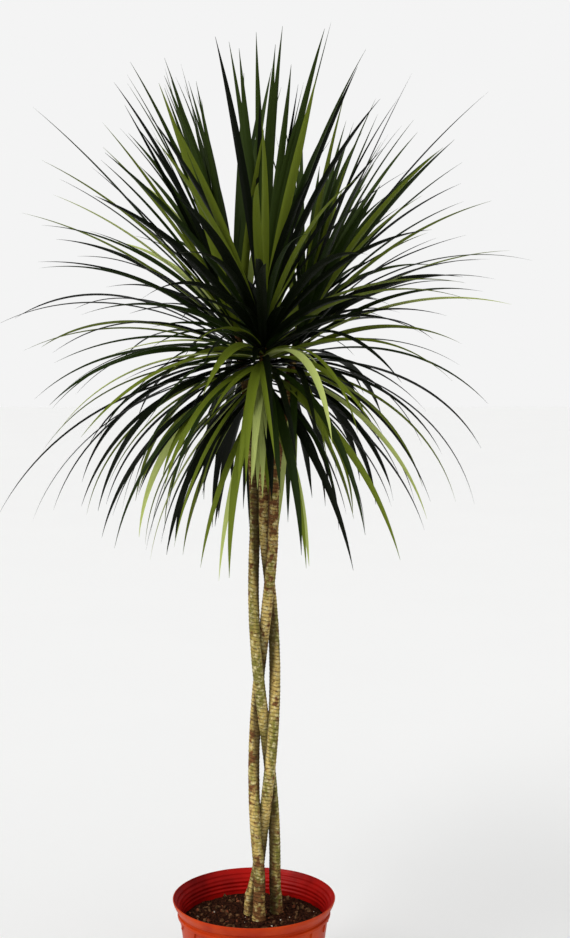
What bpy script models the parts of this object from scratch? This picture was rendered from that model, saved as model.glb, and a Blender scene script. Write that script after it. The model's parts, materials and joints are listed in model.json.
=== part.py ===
"""A braided Madagascar dragon tree in a plastic nursery pot.

Three canes are plaited from the soil to a fork, and each carries one head of strap leaves.
Metres, +Z up. The origin is the middle of the pot's flat underside, and the front is -Y.
"""

import math
from dataclasses import dataclass

import bmesh
import bpy
import numpy as np

# Overall sizes
COLLECTION_NAME = "braided_dragon_tree"
TOTAL_HEIGHT = 1.27
TOUCHING_GAP = 0.0003
WELD = 0.00001

# The pot
POT_HEIGHT = 0.175
RIM_RADIUS = 0.105
FOOT_RADIUS = 0.075
WALL = 0.002
FLOOR = 0.003
SHOULDER_INSET = 0.006
LIP_HEIGHT = 0.013
LIP_ROLL = 0.0015
LIP_TAPER = 0.005
RING_DROP = 0.018
RING_HEIGHT = 0.004
RING_STEP = 0.0022
STEP_SLOPE = 0.0008
FOOT_ROUND = 0.002
RIDGES = 4
RIDGE_DEPTH = 0.0008
DRAIN_HOLES = 8
DRAIN_HOLE_RADIUS = 0.0055
DRAIN_HOLE_SIDES = 12
DRAIN_CIRCLE = 0.055
SHOULDER_RIBS = 18
RIB_LENGTH = 0.014
RIB_WIDTH = 0.003
RIB_DEPTH = 0.0016
ROUND_STEPS = 40

# The soil, which falls away a little towards the pot's wall
SOIL_LEVEL = 0.146
SOIL_FLAT_SHARE = 0.8
SOIL_FALL = 0.003
RIDGE_CLEARANCE = 0.004

# The plait, whose middle stands a little to the right of the pot's
PLAIT_X = 0.0135
PLAIT_HALF_WIDTH = 0.0135
PLAIT_HALF_DEPTH = 0.0128
PLAIT_PITCH = 0.725
PLAIT_TOP = 0.668
PLAIT_FOOT = 0.189
PLAIT_EASE = 0.05
FOOT_TOP = 0.1725
FOOT_SPREAD = 0.12
FOOT_SPLAY_TOP = 0.235
CANE_RADIUS = 0.0076
CANE_TIP_RADIUS = 0.0068
FLARE = 0.0020
FLARE_HEIGHT = 0.016
CANE_TIP_Z = 0.79
CANE_POINTS = 26
CANE_SIDES = 10

# The heads. Leaves stand on the upper share of each stem, a little closer towards its top
STEM_HEIGHT = 0.145
STEM_TOP_RADIUS = 0.0045
STEM_POINTS = 7
AXIS_STEP = 0.05
LEAFY_SHARE = 0.82
ROOT_CROWDING = 0.9
ROOT_OFFSET = 0.0014
CROWN_AXIS = (0.0155, 0.004)
GOLDEN_ANGLE = math.pi * (3 - math.sqrt(5))

# A leaf's shape, by its share of length from the root
LEAF_WIDTH = 0.0118
LEAF_KEEL = 0.0042
LEAF_STATIONS = (0.0, 0.16, 0.38, 0.62, 0.83, 1.0)
LEAF_WIDTH_SHARE = (0.45, 0.80, 1.0, 0.78, 0.42, 0.08)
LEAST_KEEL_SHARE = 0.45
TANGENT_STEP = 0.02
LEAF_PATH_STEPS = 48
LEAF_CLEARANCE = 0.0015
ROOT_SHARE = 0.04

# A leaf that would hang in front of the canes below this height is shorter, step by step
BARE_CANE_TOP = 0.70
BARE_CANE_REACH = 0.034
SHORTENING = 0.85
SHORTENING_STEPS = 6

# Gaps between the heads that show sky from the front, seen from a point. Each runs from a low to
# a high point, given as (right, up), and reaches so far aside at them
VIEWPOINT = (0.040, -1.75, 0.854)
SKY_GAPS = (
    ((-0.019, 0.998), (-0.055, 1.245), (0.004, 0.012)),
    ((0.065, 1.105), (0.100, 1.240), (0.003, 0.016)),
)
MOST_IN_GAP = 0.10

# A leaf's growth, by its age from the youngest (0) to the oldest (1), and how much it varies
LENGTH_AGES = (0.0, 0.4, 0.7, 1.0)
LEAF_LENGTHS = (0.340, 0.352, 0.315, 0.243)
FAN_AGES = (0.0, 0.42, 0.62, 1.0)
FAN_ANGLES = tuple(math.radians(angle) for angle in (5, 50, 95, 136))
LEAST_DROOP = math.radians(9)
MOST_DROOP = math.radians(50)
DROOP_POWER = 1.3
STEEPEST_FALL = math.radians(-86)
SPIN_SCATTER = 0.12
FAN_SCATTER = 0.07
DROOP_SCATTER = 0.12
SWEEP_SCATTER = 0.10
MOST_ROLL = 0.5
LENGTH_RANGE = (0.88, 1.08)
WIDTH_RANGE = (0.85, 1.10)


@dataclass(frozen=True)
class Head:
    """One cane's head of leaves, and the wedge of the crown that it keeps to.

    strand is the plait's strand that carries it. foot_shift and cane_shift are how far that
    strand has moved from the plait at its foot and its tip, and stem_lean how far the stem curves
    on from there, all as (right, back). wedge is two bearings in degrees, anticlockwise from the
    right. vigour scales the length of its leaves.
    """

    name: str
    strand: int
    foot_shift: tuple
    cane_shift: tuple
    stem_lean: tuple
    wedge: tuple
    vigour: float
    candidates: int
    seed: int


HEADS = (
    Head("left", 2, (0.0, 0.010), (-0.007, 0.005), (-0.010, 0.003), (90, 225), 0.89, 175, 192),
    Head("front", 0, (-0.010, -0.004), (0.0, -0.014), (0.0, -0.003), (225, 315), 0.93, 164, 36),
    Head("right", 1, (0.0, 0.0), (0.011, 0.010), (0.009, 0.003), (-45, 90), 0.82, 97, 393),
)


def clear_scene():
    """Removes what the file holds before the model is made."""
    for thing in list(bpy.data.objects):
        bpy.data.objects.remove(thing, do_unlink=True)


def new_collection(name):
    """Makes a collection in the scene."""
    collection = bpy.data.collections.new(name)
    bpy.context.scene.collection.children.link(collection)
    return collection


def new_material(name, colour, roughness):
    """Makes a plain Principled material."""
    material = bpy.data.materials.new(name)
    material.use_nodes = True
    shader = material.node_tree.nodes["Principled BSDF"]
    shader.inputs["Base Color"].default_value = (*colour, 1.0)
    shader.inputs["Roughness"].default_value = roughness
    shader.inputs["Metallic"].default_value = 0.0
    return material


def new_object(name, data, collection, material=None):
    """Makes an object of a mesh or curve and links it to a collection."""
    thing = bpy.data.objects.new(name, data)
    collection.objects.link(thing)
    if material is not None:
        data.materials.append(material)
    return thing


def move_to_collection(thing, collection):
    """Takes an object out of its collections and links it to another."""
    for holder in list(thing.users_collection):
        holder.objects.unlink(thing)
    collection.objects.link(thing)


def evaluated_mesh(thing):
    """The mesh of an object with its modifiers, as a new mesh."""
    graph = bpy.context.evaluated_depsgraph_get()
    return bpy.data.meshes.new_from_object(thing.evaluated_get(graph))


def remove_objects(things):
    """Removes objects together with the meshes or curves that only they used."""
    for thing in list(things):
        data = thing.data
        bpy.data.objects.remove(thing, do_unlink=True)
        if data.users == 0 and isinstance(data, bpy.types.Mesh):
            bpy.data.meshes.remove(data)


def join_by_union(thing, others):
    """Joins a collection's objects to one object with a single Boolean union, and removes them."""
    union = thing.modifiers.new("join", "BOOLEAN")
    union.operation = "UNION"
    union.operand_type = "COLLECTION"
    union.collection = others
    union.solver = "EXACT"
    joined = evaluated_mesh(thing)
    thing.modifiers.clear()
    thing.data = joined
    remove_objects(others.objects)
    bpy.data.collections.remove(others)


def keep_largest_shell(mesh):
    """Drops loose scraps and the walls of sealed hollows, which leaves one solid body."""
    shape = bmesh.new()
    shape.from_mesh(mesh)
    unseen = set(shape.verts)
    shells = []
    while unseen:
        shell = [unseen.pop()]
        for vert in shell:
            for edge in vert.link_edges:
                other = edge.other_vert(vert)
                if other in unseen:
                    unseen.remove(other)
                    shell.append(other)
        shells.append(shell)
    shells.sort(key=len, reverse=True)
    for shell in shells[1:]:
        bmesh.ops.delete(shape, geom=shell, context="VERTS")
    bmesh.ops.triangulate(shape, faces=shape.faces)
    bmesh.ops.recalc_face_normals(shape, faces=shape.faces)
    shape.to_mesh(mesh)
    shape.free()


def turned_object(name, profile, collection, material):
    """Turns a profile of (radius, height) points about the upright axis."""
    mesh = bpy.data.meshes.new(name)
    points = [(radius, 0.0, height) for radius, height in profile]
    edges = [(i, i + 1) for i in range(len(points) - 1)]
    mesh.from_pydata(points, edges, [])
    thing = new_object(name, mesh, collection, material)
    screw = thing.modifiers.new("turn", "SCREW")
    screw.steps = ROUND_STEPS
    screw.render_steps = ROUND_STEPS
    screw.use_merge_vertices = True
    screw.merge_threshold = WELD
    return thing


def body_radius(height):
    """The outer radius of the pot's tapered body at a height."""
    shoulder = RIM_RADIUS - SHOULDER_INSET
    return FOOT_RADIUS + (shoulder - FOOT_RADIUS) * height / POT_HEIGHT


def pot_outer_profile():
    """The outside of the pot from the rim's top down to the middle of its underside."""
    ring_top = POT_HEIGHT - RING_DROP
    ring_bottom = ring_top - RING_HEIGHT
    lip_bottom = POT_HEIGHT - LIP_HEIGHT
    return [
        (RIM_RADIUS - LIP_ROLL, POT_HEIGHT),
        (RIM_RADIUS, POT_HEIGHT - LIP_ROLL),
        (RIM_RADIUS - LIP_TAPER, lip_bottom),
        (body_radius(lip_bottom), lip_bottom - STEP_SLOPE),
        (body_radius(ring_top), ring_top + STEP_SLOPE),
        (body_radius(ring_top) + RING_STEP, ring_top),
        (body_radius(ring_bottom) + RING_STEP, ring_bottom),
        (body_radius(ring_bottom), ring_bottom - STEP_SLOPE),
        (body_radius(FOOT_ROUND), FOOT_ROUND),
        (FOOT_RADIUS - FOOT_ROUND, 0.0),
        (0.0, 0.0),
    ]


def inner_radius(height):
    """The radius of the pot's inner wall at a height."""
    return body_radius(height) - WALL


def pot_inner_profile():
    """The inside of the pot from the middle of its floor up to the rim, with ridges above the soil."""
    profile = [(0.0, FLOOR), (inner_radius(FLOOR), FLOOR)]
    lowest = SOIL_LEVEL + RIDGE_CLEARANCE
    pitch = (POT_HEIGHT - LIP_HEIGHT / 2 - lowest) / RIDGES
    for ridge in range(RIDGES):
        height = lowest + ridge * pitch
        profile.append((inner_radius(height), height))
        profile.append((inner_radius(height) - RIDGE_DEPTH, height + pitch / 2))
    profile.append((RIM_RADIUS - WALL - LIP_ROLL, POT_HEIGHT - LIP_ROLL))
    profile.append((RIM_RADIUS - WALL, POT_HEIGHT))
    return profile


def drain_hole(index, collection):
    """A cutter for one drain hole, which stands through the pot's floor."""
    angle = 2 * math.pi * (index + 0.5) / DRAIN_HOLES
    bpy.ops.mesh.primitive_cylinder_add(
        vertices=DRAIN_HOLE_SIDES,
        radius=DRAIN_HOLE_RADIUS,
        depth=4 * FLOOR,
        location=(DRAIN_CIRCLE * math.cos(angle), DRAIN_CIRCLE * math.sin(angle), FLOOR / 2),
    )
    cutter = bpy.context.object
    cutter.name = f"drain_hole_{index}"
    cutter.hide_render = True
    cutter.display_type = "WIRE"
    move_to_collection(cutter, collection)


def shoulder_rib(index, collection):
    """One short upright rib under the pot's ring, sunk to the middle of the wall."""
    angle = 2 * math.pi * (index + 0.5) / SHOULDER_RIBS
    top = POT_HEIGHT - RING_DROP - RING_HEIGHT / 2
    middle = top - RIB_LENGTH / 2
    sunk = WALL / 2
    radius = body_radius(middle) + (RIB_DEPTH - sunk) / 2
    bpy.ops.mesh.primitive_cube_add(size=1.0)
    rib = bpy.context.object
    rib.name = f"rib_{index}"
    rib.scale = (RIB_DEPTH + sunk, RIB_WIDTH, RIB_LENGTH)
    rib.rotation_euler = (0.0, 0.0, angle)
    rib.location = (radius * math.cos(angle), radius * math.sin(angle), middle)
    move_to_collection(rib, collection)


def make_pot(collection, cutters, material):
    """The tapered pot with its lip, ring, ribs and drain holes."""
    pot = turned_object("pot", pot_inner_profile() + pot_outer_profile(), collection, material)
    ribs = new_collection("ribs")
    for index in range(SHOULDER_RIBS):
        shoulder_rib(index, ribs)
    join_by_union(pot, ribs)
    for index in range(DRAIN_HOLES):
        drain_hole(index, cutters)
    cut = pot.modifiers.new("drain", "BOOLEAN")
    cut.operation = "DIFFERENCE"
    cut.operand_type = "COLLECTION"
    cut.collection = cutters
    cut.solver = "EXACT"


def make_soil(collection, material):
    """The soil that fills the pot to a little under its rim."""
    profile = [
        (0.0, SOIL_LEVEL),
        (inner_radius(SOIL_LEVEL) * SOIL_FLAT_SHARE, SOIL_LEVEL),
        (inner_radius(SOIL_LEVEL - SOIL_FALL) - TOUCHING_GAP, SOIL_LEVEL - SOIL_FALL),
        (inner_radius(FLOOR) - TOUCHING_GAP, FLOOR + TOUCHING_GAP),
        (0.0, FLOOR + TOUCHING_GAP),
    ]
    turned_object("soil", profile, collection, material)


def eased(run, total, ease):
    """A run along a total length that starts and ends gently, over the ease at either end."""
    run = min(max(run, 0.0), total)
    start = run * run / (2 * ease) if run < ease else run - ease / 2
    over = run - (total - ease)
    return start - over * over / (2 * ease) if over > 0 else start


def strand_place(strand, height):
    """The middle of one strand of the plait at a height, as (x, y)."""
    run = eased(PLAIT_TOP - height, PLAIT_TOP - PLAIT_FOOT, PLAIT_EASE)
    turn = 2 * math.pi * (run / PLAIT_PITCH + strand / 3)
    spread = 1 + FOOT_SPREAD * max(0.0, (PLAIT_FOOT - height) / (PLAIT_FOOT - FOOT_TOP)) ** 2
    across = PLAIT_HALF_WIDTH * spread * math.sin(turn)
    return PLAIT_X + across, PLAIT_HALF_DEPTH * spread * math.sin(2 * turn)


def cane_place(head, height):
    """The middle of a cane at a height: its strand of the plait, with its own bend at either end.

    Its foot stands upright, so that its cut at the soil is level.
    """
    level = max(height, FOOT_TOP)
    x, y = strand_place(head.strand, level)
    rise = max(0.0, (level - PLAIT_TOP) / (CANE_TIP_Z - PLAIT_TOP)) ** 2
    fall = max(0.0, (FOOT_SPLAY_TOP - level) / (FOOT_SPLAY_TOP - FOOT_TOP)) ** 2
    x += head.cane_shift[0] * rise + head.foot_shift[0] * fall
    y += head.cane_shift[1] * rise + head.foot_shift[1] * fall
    return np.array((x, y, height))


def cane_radius(height):
    """The cane's radius, with its taper and the flare at its foot."""
    rise = (height - SOIL_LEVEL) / (CANE_TIP_Z - SOIL_LEVEL)
    taper = CANE_RADIUS + (CANE_TIP_RADIUS - CANE_RADIUS) * rise
    return taper + FLARE * math.exp(-(height - SOIL_LEVEL) / FLARE_HEIGHT)


def cane_heights():
    """Heights of the cane's points from just over the soil to its tip."""
    return np.linspace(SOIL_LEVEL + TOUCHING_GAP, CANE_TIP_Z, CANE_POINTS)


def cane_direction(head):
    """The direction of the cane's last stretch, which the stem goes on from."""
    heights = cane_heights()
    run = cane_place(head, heights[-1]) - cane_place(head, heights[-2])
    return run / np.linalg.norm(run)


def stem_place(head, share):
    """The middle of a head's stem at a share of its height. Its first stretch is straight."""
    foot = cane_place(head, CANE_TIP_Z) + cane_direction(head) * TOUCHING_GAP
    along = cane_direction(head) * STEM_HEIGHT * share
    lean = np.array((*head.stem_lean, 0.0)) * max(0.0, share - 1 / STEM_POINTS) ** 2
    return foot + along + lean


def round_tube(name, points, radii, collection, material=None):
    """A tube along points, with a radius at each and flat caps."""
    curve = bpy.data.curves.new(name, "CURVE")
    curve.dimensions = "3D"
    curve.bevel_depth = 1.0
    curve.bevel_resolution = (CANE_SIDES - 4) // 2
    curve.use_fill_caps = True
    spline = curve.splines.new("POLY")
    spline.points.add(len(points) - 1)
    for point, place, radius in zip(spline.points, points, radii):
        point.co = (*place, 1.0)
        point.radius = radius
    return new_object(name, curve, collection, material)


def make_cane(head, collection, material):
    """One cane from the soil to its tip."""
    heights = cane_heights()
    points = [cane_place(head, height) for height in heights]
    radii = [cane_radius(height) for height in heights]
    round_tube(f"cane_{head.name}", points, radii, collection, material)


def make_stem(head, collection, material):
    """The stem inside a head of leaves, as a mesh with welded caps."""
    shares = np.linspace(0.0, 1.0, STEM_POINTS)
    points = [stem_place(head, share) for share in shares]
    radii = [CANE_TIP_RADIUS + (STEM_TOP_RADIUS - CANE_TIP_RADIUS) * share for share in shares]
    tube = round_tube("stem", points, radii, collection)
    mesh = evaluated_mesh(tube)
    shape = bmesh.new()
    shape.from_mesh(mesh)
    bmesh.ops.remove_doubles(shape, verts=shape.verts, dist=WELD)
    shape.to_mesh(mesh)
    shape.free()
    stem = new_object(f"leaves_{head.name}", mesh, collection, material)
    stem.matrix_world = tube.matrix_world
    bpy.data.objects.remove(tube, do_unlink=True)
    return stem


def leaf_path(root, elevation, bearing, droop, sweep, length):
    """Points along a leaf that starts at an elevation and bearing, droops and sweeps aside."""
    share = np.linspace(0.0, 1.0, LEAF_PATH_STEPS + 1)
    middle = (share[1:] + share[:-1]) / 2
    pitch = np.maximum(elevation - droop * middle**DROOP_POWER, STEEPEST_FALL)
    heading = bearing + sweep * middle**2
    step = np.stack(
        (np.cos(pitch) * np.cos(heading), np.cos(pitch) * np.sin(heading), np.sin(pitch)), axis=1
    )
    places = root + np.concatenate((np.zeros((1, 3)), np.cumsum(step, axis=0))) * length / LEAF_PATH_STEPS
    return share, places


def leaf_width(share):
    """The share of the full width that a leaf has along its length."""
    return np.interp(share, LEAF_STATIONS, LEAF_WIDTH_SHARE)


def grow_leaf(head, index, chance):
    """One leaf by its place in the golden spiral, from youngest to oldest.

    Returns its path as (shares, places), its roll about the path and its width.
    """
    age = (index + 0.5) / head.candidates
    share = 1.0 - LEAFY_SHARE * age**ROOT_CROWDING
    axis = stem_place(head, share + AXIS_STEP) - stem_place(head, share - AXIS_STEP)
    axis /= np.linalg.norm(axis)
    right = np.cross(axis, (0.0, 1.0, 0.0))
    right /= np.linalg.norm(right)
    back = np.cross(right, axis)
    spin = index * GOLDEN_ANGLE + chance.normal(0.0, SPIN_SCATTER)
    fan = np.interp(age, FAN_AGES, FAN_ANGLES) + chance.normal(0.0, FAN_SCATTER)
    outward = math.cos(spin) * right + math.sin(spin) * back
    start = math.cos(fan) * axis + math.sin(fan) * outward
    elevation = math.asin(start[2])
    bearing = math.atan2(start[1], start[0])
    droop = LEAST_DROOP + MOST_DROOP * math.cos(elevation) ** 2 + chance.normal(0.0, DROOP_SCATTER)
    length = np.interp(age, LENGTH_AGES, LEAF_LENGTHS) * head.vigour * chance.uniform(*LENGTH_RANGE)
    sweep = chance.normal(0.0, SWEEP_SCATTER)
    roll = chance.uniform(-MOST_ROLL, MOST_ROLL)
    width = LEAF_WIDTH * chance.uniform(*WIDTH_RANGE)
    root = stem_place(head, share) + outward * ROOT_OFFSET
    return leaf_path(root, elevation, bearing, max(droop, 0.0), sweep, length), roll, width


def in_wedge(head, places, margin):
    """Whether all places lie in the head's wedge of the crown, a margin from its two sides."""
    first, last = (math.radians(bearing) for bearing in head.wedge)
    flat = places[:, :2] - np.array(CROWN_AXIS)
    from_first = flat[:, 1] * math.cos(first) - flat[:, 0] * math.sin(first)
    from_last = flat[:, 0] * math.sin(last) - flat[:, 1] * math.cos(last)
    return bool(np.all(from_first > margin) and np.all(from_last > margin))


def clear_of_canes(places, margin):
    """Whether all places keep a margin to every cane."""
    for head in HEADS:
        for height in np.linspace(SOIL_LEVEL, CANE_TIP_Z, 2 * CANE_POINTS):
            far = np.linalg.norm(places - cane_place(head, height), axis=1)
            if far.min() < cane_radius(height) + margin:
                return False
    return True


def hides_canes(places):
    """Whether a leaf hangs down in front of the bare canes."""
    low = places[:, 2] < BARE_CANE_TOP
    before = (places[:, 1] < 0.0) & (np.abs(places[:, 0] - PLAIT_X) < BARE_CANE_REACH)
    return bool(np.any(low & before))


def kept_off_canes(places):
    """The leaf at the length at which it doesn't hide the bare canes."""
    for _ in range(SHORTENING_STEPS):
        if not hides_canes(places):
            break
        places = places[0] + (places - places[0]) * SHORTENING
    return places


def seen_from_front(places):
    """Where places are seen, as (right, up) on the upright plane through the pot's middle."""
    eye = np.array(VIEWPOINT)
    nearness = eye[1] / (eye[1] - places[:, 1])
    return eye[[0, 2]] + (places[:, [0, 2]] - eye[[0, 2]]) * nearness[:, None]


def closes_gap(places):
    """Whether too much of a leaf hangs in a gap that shows sky."""
    seen = seen_from_front(places)
    for low, high, reaches in SKY_GAPS:
        run = np.array(high) - np.array(low)
        length = np.linalg.norm(run)
        offset = seen - np.array(low)
        share = offset @ run / length**2
        aside = np.abs(offset[:, 0] * run[1] - offset[:, 1] * run[0]) / length
        inside = (share > 0.0) & (share < 1.0) & (aside < np.interp(share, (0.0, 1.0), reaches))
        if np.mean(inside) > MOST_IN_GAP:
            return True
    return False


def grown_leaves(head):
    """The head's leaves, less those that leave its wedge, touch a cane, close a gap or end too high."""
    chance = np.random.default_rng(head.seed)
    leaves = []
    for index in range(head.candidates):
        (shares, places), roll, width = grow_leaf(head, index, chance)
        places = kept_off_canes(places)
        margin = width / 2 + LEAF_CLEARANCE
        outer = places[shares > ROOT_SHARE]
        if places[:, 2].max() > TOTAL_HEIGHT or closes_gap(places):
            continue
        if in_wedge(head, outer, margin) and clear_of_canes(outer, margin):
            leaves.append((shares, places, roll, width))
    return leaves


def place_along(leaf, share):
    """The point at a share of a leaf's path, held to its ends."""
    shares, places = leaf[:2]
    return np.array([np.interp(share, shares, places[:, axis]) for axis in range(3)])


def leaf_object(name, leaf, collection):
    """A strap leaf: a loft of three-sided sections along its path, with a keel underneath."""
    roll, width = leaf[2:]
    shape = bmesh.new()
    rings = []
    for station in LEAF_STATIONS:
        place = place_along(leaf, station)
        run = place_along(leaf, station + TANGENT_STEP) - place_along(leaf, station - TANGENT_STEP)
        along = run / np.linalg.norm(run)
        across = np.cross(along, (0.0, 0.0, 1.0))
        across /= np.linalg.norm(across)
        up = np.cross(across, along)
        side = math.cos(roll) * across + math.sin(roll) * up
        face = math.cos(roll) * up - math.sin(roll) * across
        half = width / 2 * leaf_width(station)
        keel = LEAF_KEEL * (LEAST_KEEL_SHARE + (1 - LEAST_KEEL_SHARE) * leaf_width(station))
        corners = (place - side * half, place + side * half, place - face * keel)
        rings.append([shape.verts.new(corner) for corner in corners])
    for lower, upper in zip(rings, rings[1:]):
        for corner in range(3):
            following = (corner + 1) % 3
            shape.faces.new((lower[corner], lower[following], upper[following], upper[corner]))
    shape.faces.new(reversed(rings[0]))
    shape.faces.new(rings[-1])
    bmesh.ops.recalc_face_normals(shape, faces=shape.faces)
    bmesh.ops.triangulate(shape, faces=shape.faces)
    mesh = bpy.data.meshes.new(name)
    shape.to_mesh(mesh)
    shape.free()
    return new_object(name, mesh, collection)


def make_mass(head, collection, material):
    """One head: a stem with its leaves fused on."""
    stem = make_stem(head, collection, material)
    blades = new_collection(f"blades_{head.name}")
    for index, leaf in enumerate(grown_leaves(head)):
        leaf_object(f"blade_{head.name}_{index}", leaf, blades)
    join_by_union(stem, blades)
    keep_largest_shell(stem.data)
    for polygon in stem.data.polygons:
        polygon.material_index = 0


def main():
    """Builds the pot, the soil, the canes and the heads of leaves."""
    clear_scene()
    parts = new_collection(COLLECTION_NAME)
    cutters = new_collection("cutters")
    make_pot(parts, cutters, new_material("terracotta_plastic", (0.58, 0.10, 0.035), 0.5))
    make_soil(parts, new_material("potting_soil", (0.03, 0.02, 0.014), 0.95))
    bark = new_material("cane_bark", (0.30, 0.22, 0.11), 0.8)
    leaf = new_material("leaf_green", (0.05, 0.12, 0.03), 0.45)
    for head in HEADS:
        make_cane(head, parts, bark)
        make_mass(head, parts, leaf)


if __name__ == "__main__":
    main()
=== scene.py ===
"""A braided Madagascar dragon tree in a plastic nursery pot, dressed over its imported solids.

Metres, +Z up. The origin is the middle of the pot's flat underside, and the front is -Y.
"""

import json
import logging
import math
from dataclasses import dataclass, field, replace
from enum import Enum

import bmesh
import bpy
import numpy as np
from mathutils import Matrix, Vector, noise

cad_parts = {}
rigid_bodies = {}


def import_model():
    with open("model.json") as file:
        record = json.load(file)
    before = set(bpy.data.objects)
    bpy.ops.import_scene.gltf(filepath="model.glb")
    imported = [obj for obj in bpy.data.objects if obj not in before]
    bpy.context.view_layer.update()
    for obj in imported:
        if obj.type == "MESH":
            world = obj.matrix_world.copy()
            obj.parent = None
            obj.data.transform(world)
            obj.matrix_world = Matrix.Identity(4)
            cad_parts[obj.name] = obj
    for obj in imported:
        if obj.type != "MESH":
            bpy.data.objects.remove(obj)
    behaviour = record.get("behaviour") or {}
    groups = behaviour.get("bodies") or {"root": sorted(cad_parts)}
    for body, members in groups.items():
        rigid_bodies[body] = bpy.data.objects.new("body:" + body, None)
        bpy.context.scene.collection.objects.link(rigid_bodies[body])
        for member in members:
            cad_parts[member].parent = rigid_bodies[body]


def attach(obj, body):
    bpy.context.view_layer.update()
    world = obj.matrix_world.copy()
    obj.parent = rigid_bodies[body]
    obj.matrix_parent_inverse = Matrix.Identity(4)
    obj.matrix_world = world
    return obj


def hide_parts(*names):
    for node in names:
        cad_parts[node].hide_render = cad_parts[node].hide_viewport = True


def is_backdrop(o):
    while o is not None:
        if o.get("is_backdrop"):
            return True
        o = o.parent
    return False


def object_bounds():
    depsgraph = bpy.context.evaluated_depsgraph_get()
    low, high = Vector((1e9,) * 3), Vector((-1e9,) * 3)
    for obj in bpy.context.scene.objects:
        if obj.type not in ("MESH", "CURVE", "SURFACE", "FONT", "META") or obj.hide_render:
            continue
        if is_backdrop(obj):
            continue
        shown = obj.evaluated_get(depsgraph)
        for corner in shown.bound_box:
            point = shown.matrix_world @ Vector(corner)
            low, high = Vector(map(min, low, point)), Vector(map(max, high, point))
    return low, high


LOG = logging.getLogger("dragon_tree")
BODY = "root"
TOTAL_HEIGHT = 1.27
VIEWPOINT = (0.040, -1.75, 0.854)
GOLDEN_ANGLE = math.pi * (3 - math.sqrt(5))
ROUND_SHARES = (0.0, 0.25, 0.5, 0.75, 1.0)

Colour = tuple[float, float, float]
Profile = list[tuple[float, float]]
Socket = bpy.types.NodeSocket


class NodeBench:
    """Adds nodes to one shader or geometry tree and joins them."""

    def __init__(self, tree: bpy.types.NodeTree) -> None:
        """Keeps the tree that nodes are added to."""
        self.tree = tree

    def node(self, kind: str, inputs: dict | None = None, **properties: object) -> bpy.types.Node:
        """Adds a node.

        Args:
            kind: The node's type name.
            inputs: A value or an output socket for each input, by its name or number.
            properties: The node's own properties.

        Returns:
            The new node.
        """
        made = self.tree.nodes.new(kind)
        for name, value in properties.items():
            setattr(made, name, value)
        for key, value in (inputs or {}).items():
            socket = made.inputs[key] if isinstance(key, int) else self.enabled(made.inputs, key)
            self.feed(socket, value)
        return made

    def enabled(self, sockets: bpy.types.NodeInputs, name: str) -> Socket:
        """Finds the socket of a name that is in use."""
        return next(socket for socket in sockets if socket.name == name and socket.enabled)

    def feed(self, socket: Socket, value: object) -> None:
        """Joins an output to an input, or sets the input's value.

        Args:
            socket: The input.
            value: An output socket, or a plain value.
        """
        if isinstance(value, bpy.types.NodeSocket):
            self.tree.links.new(value, socket)
        else:
            socket.default_value = value

    def maths(self, operation: str, first: object, second: object = 0.0) -> Socket:
        """Works out one sum.

        Args:
            operation: The sum, as the Math node names it.
            first: Its first value or socket.
            second: Its second value or socket.

        Returns:
            The result's socket.
        """
        made = self.node("ShaderNodeMath", {0: first, 1: second}, operation=operation)
        return made.outputs[0]

    def noise(self, place: Socket, scale: float, detail: float = 2.0) -> Socket:
        """Adds a soft random pattern.

        Args:
            place: Where the pattern is read.
            scale: How many features it has to the metre, roughly.
            detail: How many finer layers it has.

        Returns:
            The pattern's socket, about 0 to 1.
        """
        made = self.node("ShaderNodeTexNoise", {"Vector": place, "Scale": scale, "Detail": detail})
        return made.outputs["Fac"]


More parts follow.
